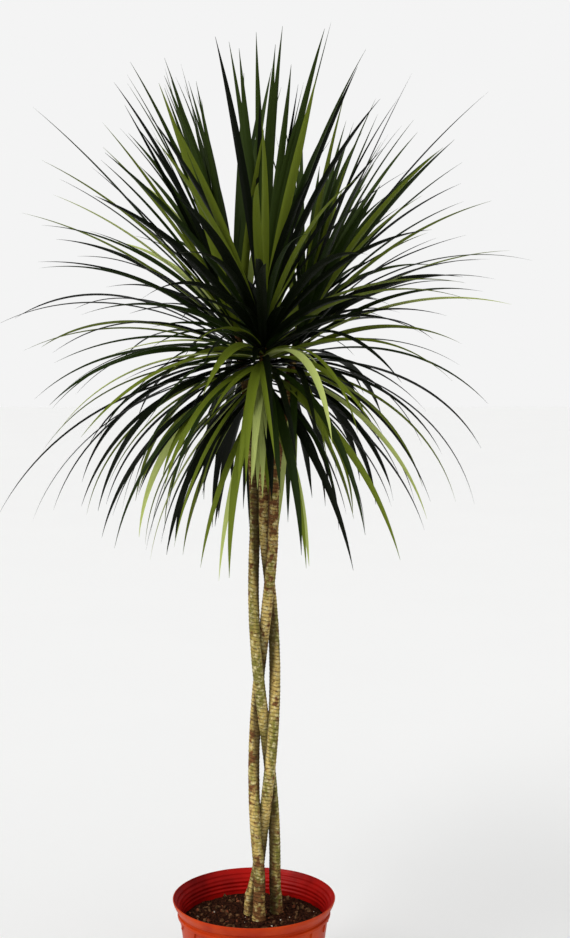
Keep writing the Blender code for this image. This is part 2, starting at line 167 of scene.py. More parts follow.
class Surface(NodeBench):
    """The nodes of one material."""

    def __init__(self, name: str, roughness: float, gloss: float = 0.5) -> None:
        """Starts a material with one Principled shader.

        Args:
            name: The material's name.
            roughness: How matt it is.
            gloss: How strongly it mirrors, 0.5 being usual.
        """
        self.material = bpy.data.materials.new(name)
        self.material.use_nodes = True
        super().__init__(self.material.node_tree)
        self.shader = self.tree.nodes["Principled BSDF"]
        self.shader.inputs["Roughness"].default_value = roughness
        self.shader.inputs["Specular IOR Level"].default_value = gloss

    def object_place(self) -> Socket:
        """The point on the piece in the object's own frame."""
        return self.node("ShaderNodeTexCoord").outputs["Object"]

    def height(self) -> Socket:
        """The height above the pot's underside."""
        return self.node("ShaderNodeSeparateXYZ", {0: self.object_place()}).outputs["Z"]

    def attribute(self, name: str) -> Socket:
        """One number that the mesh carries."""
        return self.node("ShaderNodeAttribute", attribute_name=name).outputs["Fac"]

    def ranged(self, value: Socket, low: float, high: float) -> Socket:
        """Spreads part of a value's range over 0 to 1.

        Args:
            value: The value.
            low: What becomes 0.
            high: What becomes 1.

        Returns:
            The spread value's socket.
        """
        made = self.node("ShaderNodeMapRange", {"Value": value, "From Min": low, "From Max": high})
        return made.outputs["Result"]

    def patches(
        self, place: Socket, scale: float, limits: tuple[float, float], detail: float = 2.0
    ) -> Socket:
        """Adds a soft random pattern with part of its range spread over 0 to 1.

        Args:
            place: Where the pattern is read.
            scale: How many features it has to the metre, roughly.
            limits: What becomes 0 and what becomes 1.
            detail: How many finer layers it has.

        Returns:
            The pattern's socket.
        """
        return self.ranged(self.noise(place, scale, detail), *limits)

    def blend(self, share: Socket, first: object, second: object) -> Socket:
        """Mixes two colours.

        Args:
            share: How much of the second colour there is.
            first: A colour or its socket.
            second: A colour or its socket.

        Returns:
            The mixed colour's socket.
        """
        inputs = {"Factor": share, "A": self.opaque(first), "B": self.opaque(second)}
        made = self.node("ShaderNodeMix", inputs, data_type="RGBA")
        return self.enabled(made.outputs, "Result")

    def opaque(self, colour: object) -> object:
        """Adds the fourth number to a plain colour, and leaves a socket as it is."""
        return colour if isinstance(colour, bpy.types.NodeSocket) else (*colour, 1.0)

    def paint(self, colour: object) -> None:
        """Gives the shader its base colour."""
        self.feed(self.shader.inputs["Base Color"], self.opaque(colour))

    def dull(self, value: Socket, low: float, high: float) -> None:
        """Lets the roughness follow a value.

        Args:
            value: The value, 0 to 1.
            low: The roughness where it is 0.
            high: The roughness where it is 1.
        """
        made = self.node("ShaderNodeMapRange", {"Value": value, "To Min": low, "To Max": high})
        self.feed(self.shader.inputs["Roughness"], made.outputs["Result"])

    def bump(self, height: Socket, depth: float, strength: float = 1.0) -> None:
        """Adds fine relief.

        Args:
            height: The relief, 0 to 1.
            depth: How deep it is, in metres.
            strength: How much of it shows.
        """
        inputs = {"Height": height, "Distance": depth, "Strength": strength}
        made = self.node("ShaderNodeBump", inputs)
        self.feed(self.shader.inputs["Normal"], made.outputs["Normal"])


class PieceTree(NodeBench):
    """A Geometry Nodes tree with named inputs, run once on a mesh and then taken away."""

    def __init__(self, name: str) -> None:
        """Starts a tree with a mesh in and a mesh out.

        Args:
            name: The tree's name.
        """
        super().__init__(bpy.data.node_groups.new(name, "GeometryNodeTree"))
        self.values: dict[str, object] = {}
        for way in ("INPUT", "OUTPUT"):
            self.tree.interface.new_socket("Geometry", in_out=way, socket_type="NodeSocketGeometry")
        self.entry = self.node("NodeGroupInput")
        self.exit = self.node("NodeGroupOutput")

    def size(self, name: str, value: object, kind: str = "Float") -> Socket:
        """Adds a named input.

        Args:
            name: The input's name.
            value: What it is set to on the modifier.
            kind: The kind of socket: Float, Int, Vector or Material.

        Returns:
            The socket to join to.
        """
        made = self.tree.interface.new_socket(
            name, in_out="INPUT", socket_type=f"NodeSocket{kind}"
        )
        self.values[made.identifier] = value
        return self.entry.outputs[name]

    def named(self, name: str, data_type: str = "FLOAT") -> Socket:
        """Reads a value that the mesh carries."""
        made = self.node("GeometryNodeInputNamedAttribute", {"Name": name}, data_type=data_type)
        return self.enabled(made.outputs, "Attribute")

    def part_of_place(self, axis: str) -> Socket:
        """Reads one coordinate of each point: X, Y or Z."""
        place = self.node("GeometryNodeInputPosition").outputs[0]
        return self.node("ShaderNodeSeparateXYZ", {0: place}).outputs[axis]

    def vectors(self, operation: str, first: object, second: object) -> Socket:
        """Works out one sum of vectors.

        Args:
            operation: The sum, as the Vector Math node names it.
            first: Its first value or socket.
            second: Its second value or socket.

        Returns:
            The result's socket.
        """
        made = self.node("ShaderNodeVectorMath", {0: first, 1: second}, operation=operation)
        return made.outputs[0]

    def scaled(self, vector: Socket, factor: object) -> Socket:
        """Multiplies a vector by a number or by a number's socket."""
        made = self.node("ShaderNodeVectorMath", {0: vector, "Scale": factor}, operation="SCALE")
        return made.outputs[0]

    def store(
        self, geometry: Socket, name: str, value: Socket, kind: str = "FLOAT", on: str = "POINT"
    ) -> Socket:
        """Writes a value on to the geometry.

        Args:
            geometry: What carries it.
            name: Its name.
            value: The value.
            kind: The value's data type.
            on: What it is written on: POINT or CORNER.

        Returns:
            The geometry with the value.
        """
        inputs = {"Geometry": geometry, "Name": name, "Value": value}
        made = self.node("GeometryNodeStoreNamedAttribute", inputs, data_type=kind, domain=on)
        return made.outputs[0]

    def finish(self, geometry: Socket, material: Socket) -> None:
        """Ends the tree: realizes the instances, dresses them and hands them out.

        Args:
            geometry: What was made.
            material: Its material.
        """
        real = self.node("GeometryNodeRealizeInstances", {"Geometry": geometry}).outputs[0]
        dressed = self.node("GeometryNodeSetMaterial", {"Geometry": real, "Material": material})
        self.feed(self.exit.inputs[0], dressed.outputs[0])

    def run(self, source: bpy.types.Object, name: str) -> bpy.types.Object:
        """Runs the tree on an object and turns the result into a plain mesh with smooth shading.

        Args:
            source: The object that goes in, which is removed.
            name: The name of the piece that comes out.

        Returns:
            The new piece.
        """
        modifier = source.modifiers.new(self.tree.name, "NODES")
        modifier.node_group = self.tree
        for identifier, value in self.values.items():
            modifier[identifier] = value
        mesh = evaluated_mesh(source)
        shade_smooth(mesh)
        source.modifiers.remove(modifier)
        bpy.data.objects.remove(source, do_unlink=True)
        return new_object(name, mesh)


def new_object(name: str, data: bpy.types.ID) -> bpy.types.Object:
    """Puts a mesh, a lamp or a camera in the scene.

    Args:
        name: The object's name, which its data takes too.
        data: The mesh, lamp or camera.

    Returns:
        The new object, at the origin.
    """
    data.name = name
    made = bpy.data.objects.new(name, data)
    bpy.context.scene.collection.objects.link(made)
    return made


def evaluated_mesh(thing: bpy.types.Object) -> bpy.types.Mesh:
    """Copies an object's mesh with its modifiers at work."""
    graph = bpy.context.evaluated_depsgraph_get()
    return bpy.data.meshes.new_from_object(thing.evaluated_get(graph))


def plain_mesh(name: str, shape: bmesh.types.BMesh) -> bpy.types.Mesh:
    """Turns a shape that has been built into a mesh, and frees it.

    Args:
        name: The mesh's name.
        shape: The shape.

    Returns:
        The mesh.
    """
    mesh = bpy.data.meshes.new(name)
    shape.to_mesh(mesh)
    shape.free()
    return mesh


def shade_smooth(mesh: bpy.types.Mesh) -> None:
    """Smooths the shading of every face."""
    mesh.polygons.foreach_set("use_smooth", [True] * len(mesh.polygons))


def path_mesh(
    name: str, paths: list[np.ndarray], values: dict[str, np.ndarray]
) -> bpy.types.Object:
    """Makes an object of bare paths for a tree to follow.

    Args:
        name: The object's name.
        paths: The points of each path.
        values: What each point carries: a number or a direction, for all paths in order.

    Returns:
        The object, whose mesh has only points and edges.
    """
    points = np.concatenate(paths)
    edges = []
    first = 0
    for path in paths:
        edges.extend((first + step, first + step + 1) for step in range(len(path) - 1))
        first += len(path)
    mesh = bpy.data.meshes.new(name)
    mesh.from_pydata(points.tolist(), edges, [])
    for key, value in values.items():
        flat = value.ndim == 1
        layer = mesh.attributes.new(key, "FLOAT" if flat else "FLOAT_VECTOR", "POINT")
        layer.data.foreach_set("value" if flat else "vector", value.astype(np.float32).ravel())
    return new_object(name, mesh)


def show(piece: bpy.types.Object, slot: str, *nodes: str) -> None:
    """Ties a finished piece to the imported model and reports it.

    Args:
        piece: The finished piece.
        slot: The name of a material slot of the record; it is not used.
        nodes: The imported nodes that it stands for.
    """
    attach(piece, BODY)
    if nodes:
        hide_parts(*nodes)
    LOG.info("%s: %d faces", piece.name, len(piece.data.polygons))


@dataclass(frozen=True)
class PotPlastic:
    """Thin moulded plastic: a satin surface in one colour, with faint clouds of a deeper one."""

    name: str
    colour: Colour
    deep: Colour
    roughness: float = 0.40
    roughness_swing: tuple[float, float] = (-0.10, 0.16)
    gloss: float = 0.10
    cloud_scale: float = 26.0
    cloud_range: tuple[float, float] = (0.35, 0.75)
    wear_scale: float = 70.0
    grain_scale: float = 900.0
    grain_depth: float = 0.00006

    def material(self) -> bpy.types.Material:
        """Makes the plastic.

        Returns:
            The material.
        """
        surface = Surface(self.name, self.roughness, self.gloss)
        place = surface.object_place()
        cloud = surface.patches(place, self.cloud_scale, self.cloud_range, detail=4.0)
        surface.paint(surface.blend(cloud, self.colour, self.deep))
        low, high = (self.roughness + swing for swing in self.roughness_swing)
        surface.dull(surface.noise(place, self.wear_scale, detail=5.0), low, high)
        surface.bump(surface.noise(place, self.grain_scale, detail=3.0), self.grain_depth)
        return surface.material


@dataclass(frozen=True)
class EarthFinish:
    """Moist potting mix, or one kind of piece that lies in it."""

    name: str
    colour: Colour
    pale: Colour
    patch_scale: float = 300.0
    roughness: float = 0.9
    patch_range: tuple[float, float] = (0.42, 0.72)
    damp: float = 0.25
    damp_scale: float = 160.0
    gloss: float = 0.05
    grain_scale: float = 1500.0
    grain_depth: float = 0.0004

    def material(self) -> bpy.types.Material:
        """Makes the finish, which is less rough where it is damp.

        Returns:
            The material.
        """
        surface = Surface(self.name, self.roughness, self.gloss)
        place = surface.object_place()
        patches = surface.patches(place, self.patch_scale, self.patch_range, detail=5.0)
        surface.paint(surface.blend(patches, self.colour, self.pale))
        damp = surface.noise(place, self.damp_scale, detail=3.0)
        surface.dull(damp, self.roughness - self.damp, self.roughness)
        surface.bump(surface.noise(place, self.grain_scale, detail=4.0), self.grain_depth)
        return surface.material


@dataclass(frozen=True)
class BarkFinish:
    """Cane bark: tan and olive, with reddish patches, dark leaf scars, fine cracks and painted
    shade between the canes.

    green and rust are how much of the olive and the reddish patches a cane has. The red grows
    towards the crown and the foot, over the ranges of height in crown_red and foot_red. The sides
    that face the middle of the plait get painted shade, for the shadow that the canes cast on each
    other: cleft_shade is the range over which that grows, and cleft_shade_strength how dark it
    gets. Each pattern has a scale, in features to the metre, and a range or a middle and a blur,
    which say where it begins and ends.
    """

    name: str
    green: float = 0.5
    rust: float = 0.5
    tan: Colour = (0.52, 0.375, 0.115)
    olive: Colour = (0.18, 0.165, 0.033)
    red: Colour = (0.155, 0.064, 0.021)
    # The scar colour also serves as the painted shade between the canes.
    scar: Colour = (0.030, 0.015, 0.004)
    pale: Colour = (0.62, 0.54, 0.27)
    stretch: tuple[float, float, float] = (1.0, 1.0, 0.22)
    olive_scale: float = 75.0
    olive_middles: tuple[float, float] = (0.62, 0.40)
    olive_blur: float = 0.08
    pale_scale: float = 210.0
    pale_range: tuple[float, float] = (0.50, 0.70)
    red_scale: float = 110.0
    red_middles: tuple[float, float] = (0.68, 0.56)
    red_blur: float = 0.06
    red_growth: float = 0.14
    crown_red: tuple[float, float] = (0.56, 0.72)
    foot_red: tuple[float, float] = (0.25, 0.17)
    scar_range: tuple[float, float] = (0.55, 0.95)
    scar_break_scale: float = 420.0
    scar_break_range: tuple[float, float] = (0.28, 0.52)
    speck_scale: float = 800.0
    speck_range: tuple[float, float] = (0.60, 0.70)
    cleft_shade: tuple[float, float] = (-0.008, 0.002)
    cleft_shade_strength: float = 0.80
    roughness: tuple[float, float] = (0.6, 0.9)
    gloss: float = 0.12
    crack_scale: float = 1300.0
    crack_depth: float = 0.0005

    def material(self) -> bpy.types.Material:
        """Lays the patterns over the tan, one after the other.

        Returns:
            The material.
        """
        surface = Surface(self.name, sum(self.roughness) / 2, self.gloss)
        place = surface.object_place()
        stretched = surface.node("ShaderNodeMapping", {"Vector": place, "Scale": self.stretch})
        long_place = stretched.outputs[0]
        olive_range = self.around(self.olive_middles, self.green, self.olive_blur)
        olive = surface.patches(long_place, self.olive_scale, olive_range, detail=4.0)
        colour = surface.blend(olive, self.tan, self.olive)
        pale = surface.patches(place, self.pale_scale, self.pale_range, detail=3.0)
        colour = surface.blend(pale, colour, self.pale)
        height = surface.height()
        crown = surface.ranged(height, *self.crown_red)
        foot = surface.ranged(height, *self.foot_red)
        growth = surface.maths("MULTIPLY", surface.maths("MAXIMUM", crown, foot), self.red_growth)
        patches = surface.noise(place, self.red_scale, detail=4.0)
        red_range = self.around(self.red_middles, self.rust, self.red_blur)
        red = surface.ranged(surface.maths("ADD", patches, growth), *red_range)
        colour = surface.blend(red, colour, self.red)
        groove = surface.ranged(surface.attribute("scar"), *self.scar_range)
        broken = surface.patches(place, self.scar_break_scale, self.scar_break_range)
        colour = surface.blend(surface.maths("MULTIPLY", groove, broken), colour, self.scar)
        specks = surface.patches(place, self.speck_scale, self.speck_range)
        colour = surface.blend(specks, colour, self.scar)
        # Painted shade: the bark darkens towards the scar colour where it faces the middle of the
        # plait, for the shadow that the canes cast on each other.
        cleft_shade = surface.ranged(surface.attribute("inward"), *self.cleft_shade)
        painted_cleft_shade = surface.maths("MULTIPLY", cleft_shade, self.cleft_shade_strength)
        surface.paint(surface.blend(painted_cleft_shade, colour, self.scar))
        surface.dull(patches, *self.roughness)
        surface.bump(surface.noise(long_place, self.crack_scale, detail=5.0), self.crack_depth)
        return surface.material

    def around(
        self, middles: tuple[float, float], share: float, blur: float
    ) -> tuple[float, float]:
        """Finds the range in which a pattern comes in.

        Args:
            middles: The middle of the range on a cane with none and with all of the pattern.
            share: How much of it the cane has.
            blur: Half the range's width.

        Returns:
            The range's two ends.
        """
        middle = middles[0] + (middles[1] - middles[0]) * share
        return middle - blur, middle + blur


@dataclass(frozen=True)
class LeafFinish:
    """One green of the strap leaves: plain, with fine veins along the leaf.

    veins says how many there are over half the leaf's width and over its length.
    """

    name: str
    colour: Colour
    roughness: float = 0.40
    roughness_swing: tuple[float, float] = (-0.08, 0.14)
    gloss: float = 0.08
    veins: tuple[float, float, float] = (46.0, 3.0, 1.0)
    vein_depth: float = 0.0006
    vein_strength: float = 0.6

    def material(self) -> bpy.types.Material:
        """Makes the green.

        Returns:
            The material.
        """
        surface = Surface(self.name, self.roughness, self.gloss)
        surface.paint(self.colour)
        place = surface.node("ShaderNodeUVMap", uv_map="leaf_map").outputs[0]
        ribbed = surface.node("ShaderNodeMapping", {"Vector": place, "Scale": self.veins})
        veins = surface.noise(ribbed.outputs[0], 1.0)
        surface.bump(veins, self.vein_depth, self.vein_strength)
        low, high = (self.roughness + swing for swing in self.roughness_swing)
        surface.dull(veins, low, high)
        return surface.material


@dataclass(frozen=True)
class FloorFinish:
    """A pale, matt studio floor with a faint unevenness."""

    colour: Colour = (0.90, 0.90, 0.893)
    shade: Colour = (0.88, 0.88, 0.874)
    roughness: float = 0.9
    cloud_scale: float = 1.3

    def material(self) -> bpy.types.Material:
        """Makes the floor's paint.

        Returns:
            The material.
        """
        surface = Surface("pale_floor", self.roughness)
        cloud = surface.noise(surface.object_place(), self.cloud_scale, detail=3.0)
        surface.paint(surface.blend(cloud, self.colour, self.shade))
        return surface.material


@dataclass
class NurseryPot:
    """The tapered pot with its flared lip, ring, ribs, inner ridges and drain holes."""

    height: float = 0.175
    rim_radius: float = 0.105
    foot_radius: float = 0.075
    wall: float = 0.002
    floor: float = 0.003
    shoulder_inset: float = 0.006
    lip_height: float = 0.013
    lip_taper: float = 0.005
    ring_drop: float = 0.018
    ring_height: float = 0.004
    ring_step: float = 0.0022
    step_slope: float = 0.0008
    foot_round: float = 0.002
    rim_round: float = 0.0009
    rim_inner_round: float = 0.0007
    band_height: float = 0.0045
    band_inset: float = 0.0012
    lip_foot_height: float = 0.001
    lip_foot_round: float = 0.0008
    step_round: float = 0.0005
    centre_reach: float = 0.03
    inner_heights: tuple[float, ...] = (0.04, 0.08, 0.12, 0.14)
    outer_heights: tuple[float, ...] = (0.12, 0.06, 0.01)
    ridges: int = 5
    ridge_depth: float = 0.0009
    ridge_low: float = 0.147
    ridge_high: float = 0.1725
    ridge_steps: int = 8
    round_steps: int = 160
    drain_holes: int = 8
    drain_hole_radius: float = 0.0055
    drain_circle: float = 0.055
    drain_steps: int = 32
    smooth_below: float = 35.0
    level_facing: float = 0.5
    ribs: int = 18
    rib_length: float = 0.014
    rib_width: float = 0.003
    rib_depth: float = 0.0016
    rib_crease: float = 0.55
    rib_detail: int = 3
    outside: PotPlastic = PotPlastic("pot_outside", (0.46, 0.043, 0.003), (0.31, 0.015, 0.001))
    # The inside is the same plastic with painted shade: darker, and a deeper red for light glowing
    # through the wall.
    inside: PotPlastic = PotPlastic("pot_inside_shaded", (0.36, 0.004, 0.002), (0.14, 0.001, 0.001))

    def body_radius(self, height: float) -> float:
        """The radius of the tapered body's outside at a height."""
        shoulder = self.rim_radius - self.shoulder_inset
        return self.foot_radius + (shoulder - self.foot_radius) * height / self.height

    def inner_radius(self, height: float) -> float:
        """Finds the radius of the inner wall at a height, with its flare at the lip.

        Args:
            height: The height.

        Returns:
            The radius there.
        """
        lip = self.height - self.lip_height
        flare = max(0.0, (height - lip) / self.lip_height)
        spread = self.rim_radius - self.body_radius(lip)
        return self.body_radius(min(height, lip)) - self.wall + spread * flare

    def inner_profile(self) -> Profile:
        """Lists the inside from the middle of the floor to just under the rim.

        Returns:
            Its points.
        """
        corner = self.inner_radius(self.floor)
        cut = self.foot_round
        points = [(reach, self.floor) for reach in (0.0, self.centre_reach, corner - cut)]
        points += [(corner - cut / 4, self.floor + cut / 4), (corner, self.floor + cut)]
        points += [(self.inner_radius(height), height) for height in self.inner_heights]
        steps = self.ridges * self.ridge_steps
        for step in range(steps + 1):
            height = self.ridge_low + (self.ridge_high - self.ridge_low) * step / steps
            swell = math.sin(math.pi * step / self.ridge_steps) ** 2
            points.append((self.inner_radius(height) - self.ridge_depth * swell, height))
        return points

    def outer_profile(self) -> Profile:
        """Lists the outside from the top of the rim to the middle of the underside.

        Returns:
            Its points.
        """
        rim = self.rim_radius
        ring_top = self.height - self.ring_drop
        ring_bottom = ring_top - self.ring_height
        lip_bottom = self.height - self.lip_height
        ring = self.body_radius(ring_top) + self.ring_step
        corners = [
            (rim - self.wall, self.height, self.rim_inner_round),
            (rim, self.height, self.rim_round),
            (rim - self.band_inset, self.height - self.band_height, self.band_inset),
            (rim - self.lip_taper, lip_bottom + self.lip_foot_height, self.lip_foot_round),
            (self.body_radius(lip_bottom), lip_bottom - self.step_slope, self.step_round),
            (self.body_radius(ring_top), ring_top + self.step_slope, self.step_round),
            (ring, ring_top, self.step_round),
            (ring, ring_bottom, self.lip_foot_round),
            (self.body_radius(ring_bottom), ring_bottom - self.step_slope, self.step_round),
        ]
        corners += [(self.body_radius(height), height, 0.0) for height in self.outer_heights]
        corners.append((self.body_radius(0.0), 0.0, self.foot_round))
        corners += [(self.centre_reach, 0.0, 0.0), (0.0, 0.0, 0.0)]
        return rounded_profile(corners)

    def build(self) -> None:
        """Makes the shell with its holes, and the ribs."""
        for piece in (self.shell(), self.rib_ring()):
            show(piece, "terracotta_plastic", "pot")

    def shell(self) -> bpy.types.Object:
        """Turns the profile and cuts the drain holes.

        Returns:
            The pot without its ribs.
        """
        profile = self.inner_profile() + self.outer_profile()
        mesh = turned_mesh("pot_shell", profile, self.round_steps)
        mesh.materials.append(self.outside.material())
        mesh.materials.append(self.inside.material())
        shell = new_object("pot_shell", mesh)
        cutters = bpy.data.collections.new("drain_cutters")
        for hole in range(self.drain_holes):
            cutters.objects.link(self.drain_cutter(hole))
        cut = shell.modifiers.new("drain", "BOOLEAN")
        cut.operation = "DIFFERENCE"
        cut.operand_type = "COLLECTION"
        cut.collection = cutters
        cut.solver = "EXACT"
        bpy.context.scene.collection.children.link(cutters)
        shell.data = evaluated_mesh(shell)
        shell.modifiers.clear()
        for cutter in list(cutters.objects):
            bpy.data.objects.remove(cutter, do_unlink=True)
        bpy.data.collections.remove(cutters)
        self.dress_sides(shell.data)
        shade_by_angle(shell.data, self.smooth_below)
        return shell

    def dress_sides(self, mesh: bpy.types.Mesh) -> None:
        """Gives the faces that look towards the pot's axis, or up from its floor, the inner finish,
        which paints the shade inside the pot on the same plastic: darker, and a deeper red for the
        light that glows through its thin wall.

        Args:
            mesh: The pot's mesh, whose second material is the inner finish.
        """
        for face in mesh.polygons:
            middle = face.center
            facing_axis = face.normal.x * middle.x + face.normal.y * middle.y < 0.0
            wall = facing_axis and middle.z > self.floor
            floor = face.normal.z > self.level_facing and middle.z < 2 * self.floor
            face.material_index = int(wall or floor)

    def drain_cutter(self, hole: int) -> bpy.types.Object:
        """Makes the cutter of one drain hole.

        Args:
            hole: The hole's number.

        Returns:
            A cylinder through the floor.
        """
        angle = 2 * math.pi * (hole + 0.5) / self.drain_holes
        across, back = self.drain_circle * math.cos(angle), self.drain_circle * math.sin(angle)
        shape = bmesh.new()
        bmesh.ops.create_cone(
            shape,
            cap_ends=True,
            segments=self.drain_steps,
            radius1=self.drain_hole_radius,
            radius2=self.drain_hole_radius,
            depth=4 * self.floor,
        )
        bmesh.ops.translate(shape, verts=shape.verts, vec=(across, back, self.floor / 2))
        mesh = plain_mesh(f"drain_cutter_{hole}", shape)
        return bpy.data.objects.new(mesh.name, mesh)

    def rib_ring(self) -> bpy.types.Object:
        """Sets the short upright ribs round the body, under the ring.

        Returns:
            The ribs as one piece.
        """
        top = self.height - self.ring_drop - self.ring_height / 2
        middle = top - self.rib_length / 2
        slope = self.body_radius(1.0) - self.body_radius(0.0)
        rib_size = (2 * self.rib_depth, self.rib_width, self.rib_length)
        tree = PieceTree("rib_ring")
        count = tree.size("Rib Count", self.ribs, "Int")
        radius = tree.size("Ring Radius", self.body_radius(middle))
        size = tree.size("Rib Size", rib_size, "Vector")
        body_lean = (0.0, 0.0, -slope * self.body_radius(middle))
        lean = tree.size("Lean With The Body", body_lean, "Vector")
        lift = tree.size("Height", (0.0, 0.0, middle), "Vector")
        material = tree.size("Rib Plastic", bpy.data.materials[self.outside.name], "Material")
        ring = tree.node("GeometryNodeMeshCircle", {"Vertices": count, "Radius": radius})
        rib = tree.node("GeometryNodeMeshCube", {"Size": size})
        finer = {
            "Mesh": rib.outputs[0],
            "Level": self.rib_detail,
            "Edge Crease": self.rib_crease,
        }
        round_rib = tree.node("GeometryNodeSubdivisionSurface", finer)
        place = tree.node("GeometryNodeInputPosition").outputs[0]
        outward = {"Vector": tree.vectors("ADD", place, lean)}
        facing = tree.node("FunctionNodeAlignRotationToVector", outward, axis="X")
        inputs = {
            "Points": ring.outputs[0],
            "Instance": round_rib.outputs[0],
            "Rotation": facing.outputs[0],
        }
        ribs = tree.node("GeometryNodeInstanceOnPoints", inputs)
        moved = {"Geometry": ribs.outputs[0], "Translation": lift}
        lifted = tree.node("GeometryNodeTransform", moved).outputs[0]
        tree.finish(lifted, material)
        return tree.run(new_object("rib_source", bpy.data.meshes.new("rib_source")), "pot_ribs")


def rounded_profile(corners: list[tuple[float, float, float]]) -> Profile:
    """Rounds the corners of a profile.

    Args:
        corners: Each corner's radius from the axis, its height and how far it is cut back.

    Returns:
        The profile's points.
    """
    points = []
    for number, (radius, height, cut) in enumerate(corners):
        if cut == 0.0:
            points.append((radius, height))
            continue
        here = Vector((radius, height))
        before = Vector(corners[max(number - 1, 0)][:2])
        after = Vector(corners[number + 1][:2])
        start = here + (before - here).normalized() * cut if number else here - Vector((0.0, cut))
        end = here + (after - here).normalized() * cut
        for share in ROUND_SHARES:
            point = start.lerp(here, share).lerp(here.lerp(end, share), share)
            points.append((point.x, point.y))
    return points


def turned_mesh(name: str, profile: Profile, steps: int) -> bpy.types.Mesh:
    """Turns a closed profile about the upright axis.

    Args:
        name: The mesh's name.
        profile: Points of radius and height that begin and end on the axis.
        steps: How many steps the full turn has.

    Returns:
        A closed mesh whose faces point outwards.
    """
    return ringed_mesh(name, [ring_places(radius, height, steps) for radius, height in profile])


def ring_places(radius: float, height: float, steps: int) -> list[tuple[float, float, float]]:
    """Lists the points of one level ring about the upright axis.

    Args:
        radius: The ring's radius.
        height: Its height.
        steps: How many points it has.

    Returns:
        Its points, or the one point on the axis if the radius is 0.
    """
    if radius == 0.0:
        return [(0.0, 0.0, height)]
    angles = (2 * math.pi * step / steps for step in range(steps))
    return [(radius * math.cos(angle), radius * math.sin(angle), height) for angle in angles]


def ringed_mesh(name: str, rings: list[list[tuple[float, float, float]]]) -> bpy.types.Mesh:
    """Joins rings of points, the first and the last of them single points, into a closed mesh.

    Args:
        name: The mesh's name.
        rings: The points of each ring.

    Returns:
        The mesh, whose faces point outwards.
    """
    shape = bmesh.new()
    made = [[shape.verts.new(place) for place in ring] for ring in rings]
    steps = max(len(ring) for ring in made)
    for first, second in zip(made, made[1:]):
        for step in range(steps):
            following = (step + 1) % steps
            corners = [first[step % len(first)], first[following % len(first)]]
            corners += [second[following % len(second)], second[step % len(second)]]
            shape.faces.new(list(dict.fromkeys(corners)))
    bmesh.ops.recalc_face_normals(shape, faces=shape.faces)
    return plain_mesh(name, shape)


def shade_by_angle(mesh: bpy.types.Mesh, degrees: float) -> None:
    """Smooths the shading except over edges that are sharper than an angle.

    Args:
        mesh: The mesh.
        degrees: The angle.
    """
    shade_smooth(mesh)
    shape = bmesh.new()
    shape.from_mesh(mesh)
    limit = math.radians(degrees)
    for edge in shape.edges:
        edge.smooth = edge.calc_face_angle(0.0) < limit
    shape.to_mesh(mesh)
    shape.free()


@dataclass(frozen=True)
class Head:
    """One cane's head of leaves, and the wedge of the crown that it keeps to.

    strand is the plait's strand that carries it. foot_shift and cane_shift are how far that
    strand has moved from the plait at its foot and its tip, and stem_lean how far the stem curves
    on from there, all as (right, back). wedge is two bearings in degrees, anticlockwise from the
    right. vigour scales the length of its leaves, candidates is how many are tried, and seed sets
    their random numbers.
    """

    name: str
    strand: int
    foot_shift: tuple[float, float]
    cane_shift: tuple[float, float]
    stem_lean: tuple[float, float]
    wedge: tuple[float, float]
    vigour: float
    candidates: int
    seed: int


